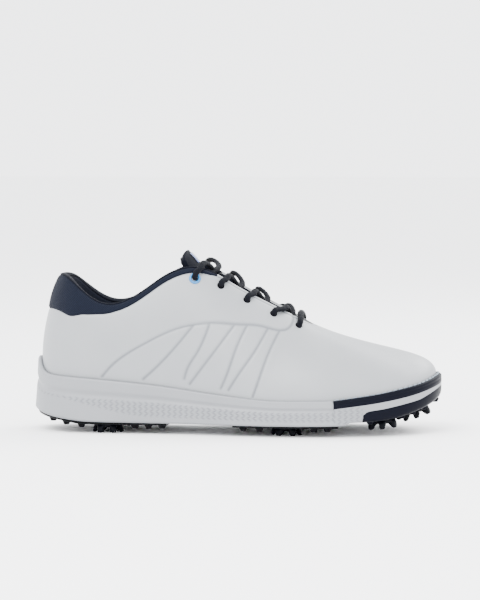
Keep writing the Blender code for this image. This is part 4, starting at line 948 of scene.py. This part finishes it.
def build_welt(look, thread):
    """The welt as a soft-edged strip, and its stitches one by one."""
    u = front_columns(WELT_START_X, 420)
    foot = foot_frame(u)[0]
    x = foot[:, 0]
    flare = FLARE(x)
    low, high = WELT_BOTTOM(x), WELT_TOP(x)
    inner = bulge(u, high - foot[:, 2]) + 0.1
    section = []
    side = ((0.0, -0.1), (0.05, 0.1), (0.45, 0.12), (0.52, -0.15), (0.6, 0.1), (0.85, 0.0), (0.95, -0.35))
    for share, out in side:
        section.append(outline(u, flare + out, low + (high - low) * share))
    groove = (inner + flare - 0.9) / 2
    top = ((flare - 1.0, 0.0), (groove + 0.9, 0.0), (groove, 0.35), (groove - 0.9, 0.0), (inner, 0.15))
    for offset, drop in top:
        section.append(outline(u, offset, high - drop))
    sheet_piece("welt_strip", np.stack(section, axis=1), look, "shoe", ["welt"])
    run = outline(u, groove, high + 0.1)
    length = np.concatenate([[0], np.cumsum(np.linalg.norm(np.diff(run, axis=0), axis=1))])
    points = []
    faces = []
    pitch, stitch, sides = 4.4, 3.3, 8
    out = foot_frame(u)[1]
    for start in np.arange(1.0, length[-1] - stitch, pitch):
        steps = np.linspace(0, 1, 7)
        at = start + steps * stitch
        centre = np.stack([np.interp(at, length, run[:, k]) for k in range(3)], axis=1)
        outward = [np.interp(at, length, out[:, k]) for k in range(2)]
        side_way = np.stack([*outward, 0 * at], axis=1)
        lift = 0.75 * np.sin(math.pi * steps)**0.5
        base = len(points)
        for c, s, rise in zip(centre, side_way, lift):
            for k in range(sides):
                angle = math.tau * k / sides
                fat = 0.35 + 0.4 * rise
                raised = math.sin(angle) * fat + rise * 0.5
                points.append(c + s * math.cos(angle) * fat * 1.35 + np.array((0, 0, raised)))
        for i in range(len(steps) - 1):
            for k in range(sides):
                after = (k + 1) % sides
                a, b = base + i * sides, base + (i + 1) * sides
                faces.append((a + k, a + after, b + after, b + k))
    finish_mesh("welt_stitches", np.array(points), faces, thread, "shoe", ["welt_stitching"])


def slab_piece(name, lateral, tips, offsets_heights, look, nodes, lugs=()):
    """Outlines stacked from the underside up, closed across by rungs, with rubber lugs below."""
    u = both_sides(lateral) if tips else np.concatenate([lateral, 1 - lateral[::-1]])
    flare = FLARE(foot_frame(u)[0][:, 0])
    rings = [outline(u, flare * scale + offset, height) for scale, offset, height in offsets_heights]
    count = len(u)
    points = list(np.concatenate(rings))
    faces = []
    for k in range(len(rings) - 1):
        for i in range(count):
            j = (i + 1) % count
            faces.append((k * count + i, k * count + j, (k + 1) * count + j, (k + 1) * count + i))
    for i in range(count // 2 - 1):
        rung = (i, count - 1 - i, count - 2 - i, i + 1)
        faces.append(rung)
    for x, y, underside, size, drop in lugs:
        z = float(underside(x))
        base = len(points)
        corners = ((-1, -0.6), (-0.6, -1), (0.6, -1), (1, -0.6), (1, 0.6), (0.6, 1), (-0.6, 1), (-1, 0.6))
        for scale, level in ((1.0, 0.5), (0.86, -0.3 * drop), (0.62, -0.92 * drop), (0.5, -drop)):
            half = size / 2 * scale
            points += [np.array((x + half * a, y + half * b, z + level)) for a, b in corners]
        for k in range(3):
            for i in range(8):
                j = (i + 1) % 8
                a, b = base + k * 8, base + (k + 1) * 8
                faces.append((a + i, b + i, b + j, a + j))
        faces.append(tuple(base + 24 + i for i in reversed(range(8))))
    piece = finish_mesh(name, np.array(points), faces, look, "shoe", nodes)
    piece.data.set_sharp_from_angle(angle=math.radians(35))
    return piece


def edge_spots(xs, inset):
    spots = []
    for x in xs:
        for sign in (-1, 1):
            u = u_at_foot_x(x)
            spot = outline(np.array([u if sign < 0 else 1 - u]), np.array([-inset]), 0.0)[0]
            spots.append((spot[0], spot[1]))
    return spots


def build_outsoles(black, navy):
    def plate_top(x):
        return MIDSOLE_Z(x) - 0.05
    plate = ((0, -FLAT_INSET, PLATE_UNDERSIDE), (1, -4.2, PLATE_UNDERSIDE),
             (1, -3.5, lambda x: PLATE_UNDERSIDE(x) + 0.25), (1, -3.1, lambda x: PLATE_UNDERSIDE(x) + 0.8),
             (1, -2.6, plate_top))
    under = PLATE_UNDERSIDE
    heel_lugs = [(x, y, under, 6.0, 2.6) for x, y in edge_spots((-136, -124, -112, -72, -62, -52), 2.5)]
    heel_lugs += [(x, y, under, 7.0, 2.6) for x in (-118, -66) for y in (-9, 8)]
    heel_lugs += [(-93, -1.5, under, 7.0, 2.6)]
    slab_piece("heel_plate_rubber", np.linspace(0.004, u_at_foot_x(-48), 120), False, plate, black,
               ["outsole_heel_plate"], heel_lugs)
    fore_lugs = [(x, y, under, 6.0, 2.6) for x, y in edge_spots((8, 20, 60, 70), 2.5)]
    fore_lugs += [(x, y, under, 7.0, 2.6) for x in (10, 68) for y in (-22, 0, 20)]
    fore_lugs += [(x, -3, under, 7.0, 2.6) for x in (30, 50)]
    slab_piece("forefoot_plate_rubber", np.linspace(u_at_foot_x(1), u_at_foot_x(77), 90), False, plate, black,
               ["outsole_forefoot_plate"], fore_lugs)
    toe = TOE_BOTTOM
    toe_lugs = [(x, y, toe, 5.0, 2.2) for x, y in edge_spots((125, 133, 141), 3.5)]
    toe_lugs += [(x, y, toe, 6.0, 2.4) for x, y in ((101, 2), (113, 2), (100, -39), (99, 42), (146, 8))]
    cup = ((0, -FLAT_INSET, toe), (1, -2.4, toe), (1, -1.2, lambda x: toe(x) + 0.35),
           (1, -0.35, lambda x: toe(x) + 1.2), (1, 0, lambda x: toe(x) + 2.4),
           (1, 0.05, lambda x: TOE_WALL_TOP(x) - 0.9),
           (1, -0.05, lambda x: TOE_WALL_TOP(x) - 0.2), (1, -0.5, TOE_WALL_TOP), (1, -2.4, TOE_WALL_TOP))
    slab_piece("toe_piece_rubber", np.linspace(u_at_foot_x(TOE_PIECE_X + 0.4), 0.4985, 200), False, cup, navy,
               ["outsole_toe_piece"], toe_lugs)


# ---------------------------------------------------------------- cleats
def build_cleats(look):
    """Soft cleats: a domed disc with six splayed, pointed legs, on a twist-lock stud."""
    steps = 96
    gap_line = ((4.0, 3.0), (4.0, -0.3), (9.6, -0.3), (9.8, -0.7), (9.7, -1.4), (9.2, -1.9), (8.4, -2.3),
                (7.2, -2.5), (5.6, -2.6), (3.6, -3.2), (2.2, -3.5), (0.02, -3.6))
    leg_line = ((4.0, 3.0), (4.0, -0.3), (9.7, -0.3), (10.4, -0.9), (10.9, -2.6), (11.25, -4.6), (11.1, -6.2),
                (10.4, -6.6), (9.3, -6.5), (7.6, -3.4), (3.0, -3.4), (0.02, -3.6))
    gap_line, leg_line = np.array(gap_line), np.array(leg_line)
    angles = np.linspace(0, math.tau, steps, endpoint=False)
    grid = []
    for angle in angles:
        off = abs((math.degrees(angle) + 30) % 60 - 30)
        share = float(1 - smooth(9.0, 17.0, off))
        line = gap_line + (leg_line - gap_line) * share
        grid.append([(r * math.cos(angle), r * math.sin(angle), z) for r, z in line])
    grid = np.array(grid)
    faces = grid_faces(steps, grid.shape[1], True, flip=True)
    for name, centre, up in cleat_places():
        turn = np.array(up.to_track_quat("Z", "Y").to_matrix())
        points = grid.reshape(-1, 3) @ turn.T + np.array(centre)
        piece = finish_mesh(f"cleat_claws_{name}", points, faces, look, f"cleat_{name}", [f"cleat_{name}"])
        piece.data.set_sharp_from_angle(angle=math.radians(50))


# ---------------------------------------------------------------- camera, lights and floor
VIEW_ELEVATION = math.radians(3.5)
VIEW_YAW = math.radians(5.0)
VIEW_CENTRE = (2.2, 96.0)     # what the middle of the picture looks at, across and up, mm
VIEW_HEIGHT = 444.0           # height of the picture at the shoe, mm
VIEW_DISTANCE = 2000.0


def build_camera():
    right = Vector((math.cos(VIEW_YAW), math.sin(VIEW_YAW), 0))
    level = math.cos(VIEW_ELEVATION)
    forward = Vector((-math.sin(VIEW_YAW) * level, math.cos(VIEW_YAW) * level, -math.sin(VIEW_ELEVATION)))
    above = right.cross(forward)
    data = bpy.data.cameras.new("camera")
    data.sensor_width = 36.0
    data.lens = data.sensor_width * VIEW_DISTANCE / VIEW_HEIGHT
    camera = bpy.data.objects.new("camera", data)
    target = right * VIEW_CENTRE[0] + above * VIEW_CENTRE[1]
    camera.location = (target - forward * VIEW_DISTANCE) * MM
    camera.rotation_euler = forward.to_track_quat("-Z", "Y").to_euler()
    bpy.context.scene.collection.objects.link(camera)
    bpy.context.scene.camera = camera


def area_light(name, place, target, size, power):
    data = bpy.data.lights.new(name, "AREA")
    data.shape = "RECTANGLE"
    data.size, data.size_y = size
    data.energy = power
    light = bpy.data.objects.new(name, data)
    light.location = place
    light.rotation_euler = (Vector(target) - Vector(place)).to_track_quat("-Z", "Y").to_euler()
    bpy.context.scene.collection.objects.link(light)


def build_studio():
    floor_mesh = bpy.data.meshes.new("floor")
    half = 12.0
    corners = [(-half, -half, 0), (half, -half, 0), (half, half, 0), (-half, half, 0)]
    floor_mesh.from_pydata(corners, [], [(0, 1, 2, 3)])
    floor = bpy.data.objects.new("floor", floor_mesh)
    bpy.context.scene.collection.objects.link(floor)
    paper = new_look("floor_paper", (0.94, 0.94, 0.94), 0.9)
    paper.node_tree.nodes["Principled BSDF"].inputs["Base Color"].default_value = (0.94, 0.94, 0.94, 1)
    floor_mesh.materials.append(paper)
    world = bpy.data.worlds.new("studio")
    bpy.context.scene.world = world
    world.use_nodes = True
    back = world.node_tree.nodes["Background"]
    back.inputs["Color"].default_value = (0.93, 0.94, 0.96, 1)
    back.inputs["Strength"].default_value = 4.2
    area_light("key", (-0.5, -1.2, 1.5), (0, 0, 0.05), (1.2, 0.9), 60)
    area_light("rim", (0.9, 0.8, 1.1), (0.05, 0, 0.06), (0.9, 0.6), 24)
    area_light("front", (0.9, -1.5, 0.5), (0.05, 0, 0.05), (0.8, 0.8), 3)


def main():
    build_camera()
    build_studio()
    trim = textile_look("navy_trim_textile", (0.0012, 0.0018, 0.005), (0.005, 0.007, 0.017), 0.55)
    lining = textile_look("lining_knit", (0.002, 0.003, 0.007), (0.010, 0.013, 0.026), 0.9)
    navy = rubber_look("navy_toe_rubber", (0.0015, 0.0022, 0.007))
    black = rubber_look("black_outsole_rubber", (0.0015, 0.0018, 0.003), 0.4)
    build_upper(microfibre_look())
    build_collar(mesh_look(), trim)
    build_lining(lining)
    build_tongue(trim, lining, tag_look())
    dark = new_look("hole_shadow", (0.002, 0.002, 0.004), 0.9)
    eyelet = rubber_look("blue_eyelet", (0.01, 0.22, 0.6), 0.3, 900)
    build_lace(lace_look(), new_look("aglet_film", (0.05, 0.06, 0.09), 0.2), eyelet, dark)
    build_midsole(foam_look())
    build_welt(navy, textile_look("grey_thread_twist", (0.25, 0.30, 0.36), (0.55, 0.62, 0.68), 0.5))
    build_outsoles(black, navy)
    build_cleats(rubber_look("cleat_urethane", (0.0018, 0.0024, 0.005), 0.34))
    finishes = {
        "insole_board": textile_look("fibre_board", (0.42, 0.40, 0.35), (0.60, 0.57, 0.50), 1.2),
        "sockliner": textile_look("sockliner_textile", (0.05, 0.06, 0.10), (0.12, 0.14, 0.20), 0.8),
        "shank": rubber_look("shank_plastic_grain", (0.05, 0.05, 0.06)),
        "heel_counter": rubber_look("counter_board", (0.6, 0.58, 0.5)),
        "toe_puff": rubber_look("puff_board", (0.6, 0.58, 0.5)),
    }
    seat = rubber_look("seat_plastic", (0.02, 0.02, 0.025))
    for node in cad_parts:
        if node.startswith("receptacle"):
            finishes[node] = seat
    for node, look in finishes.items():
        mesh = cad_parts[node].data
        if mesh.materials:
            mesh.materials[0] = look
        else:
            mesh.materials.append(look)


main()
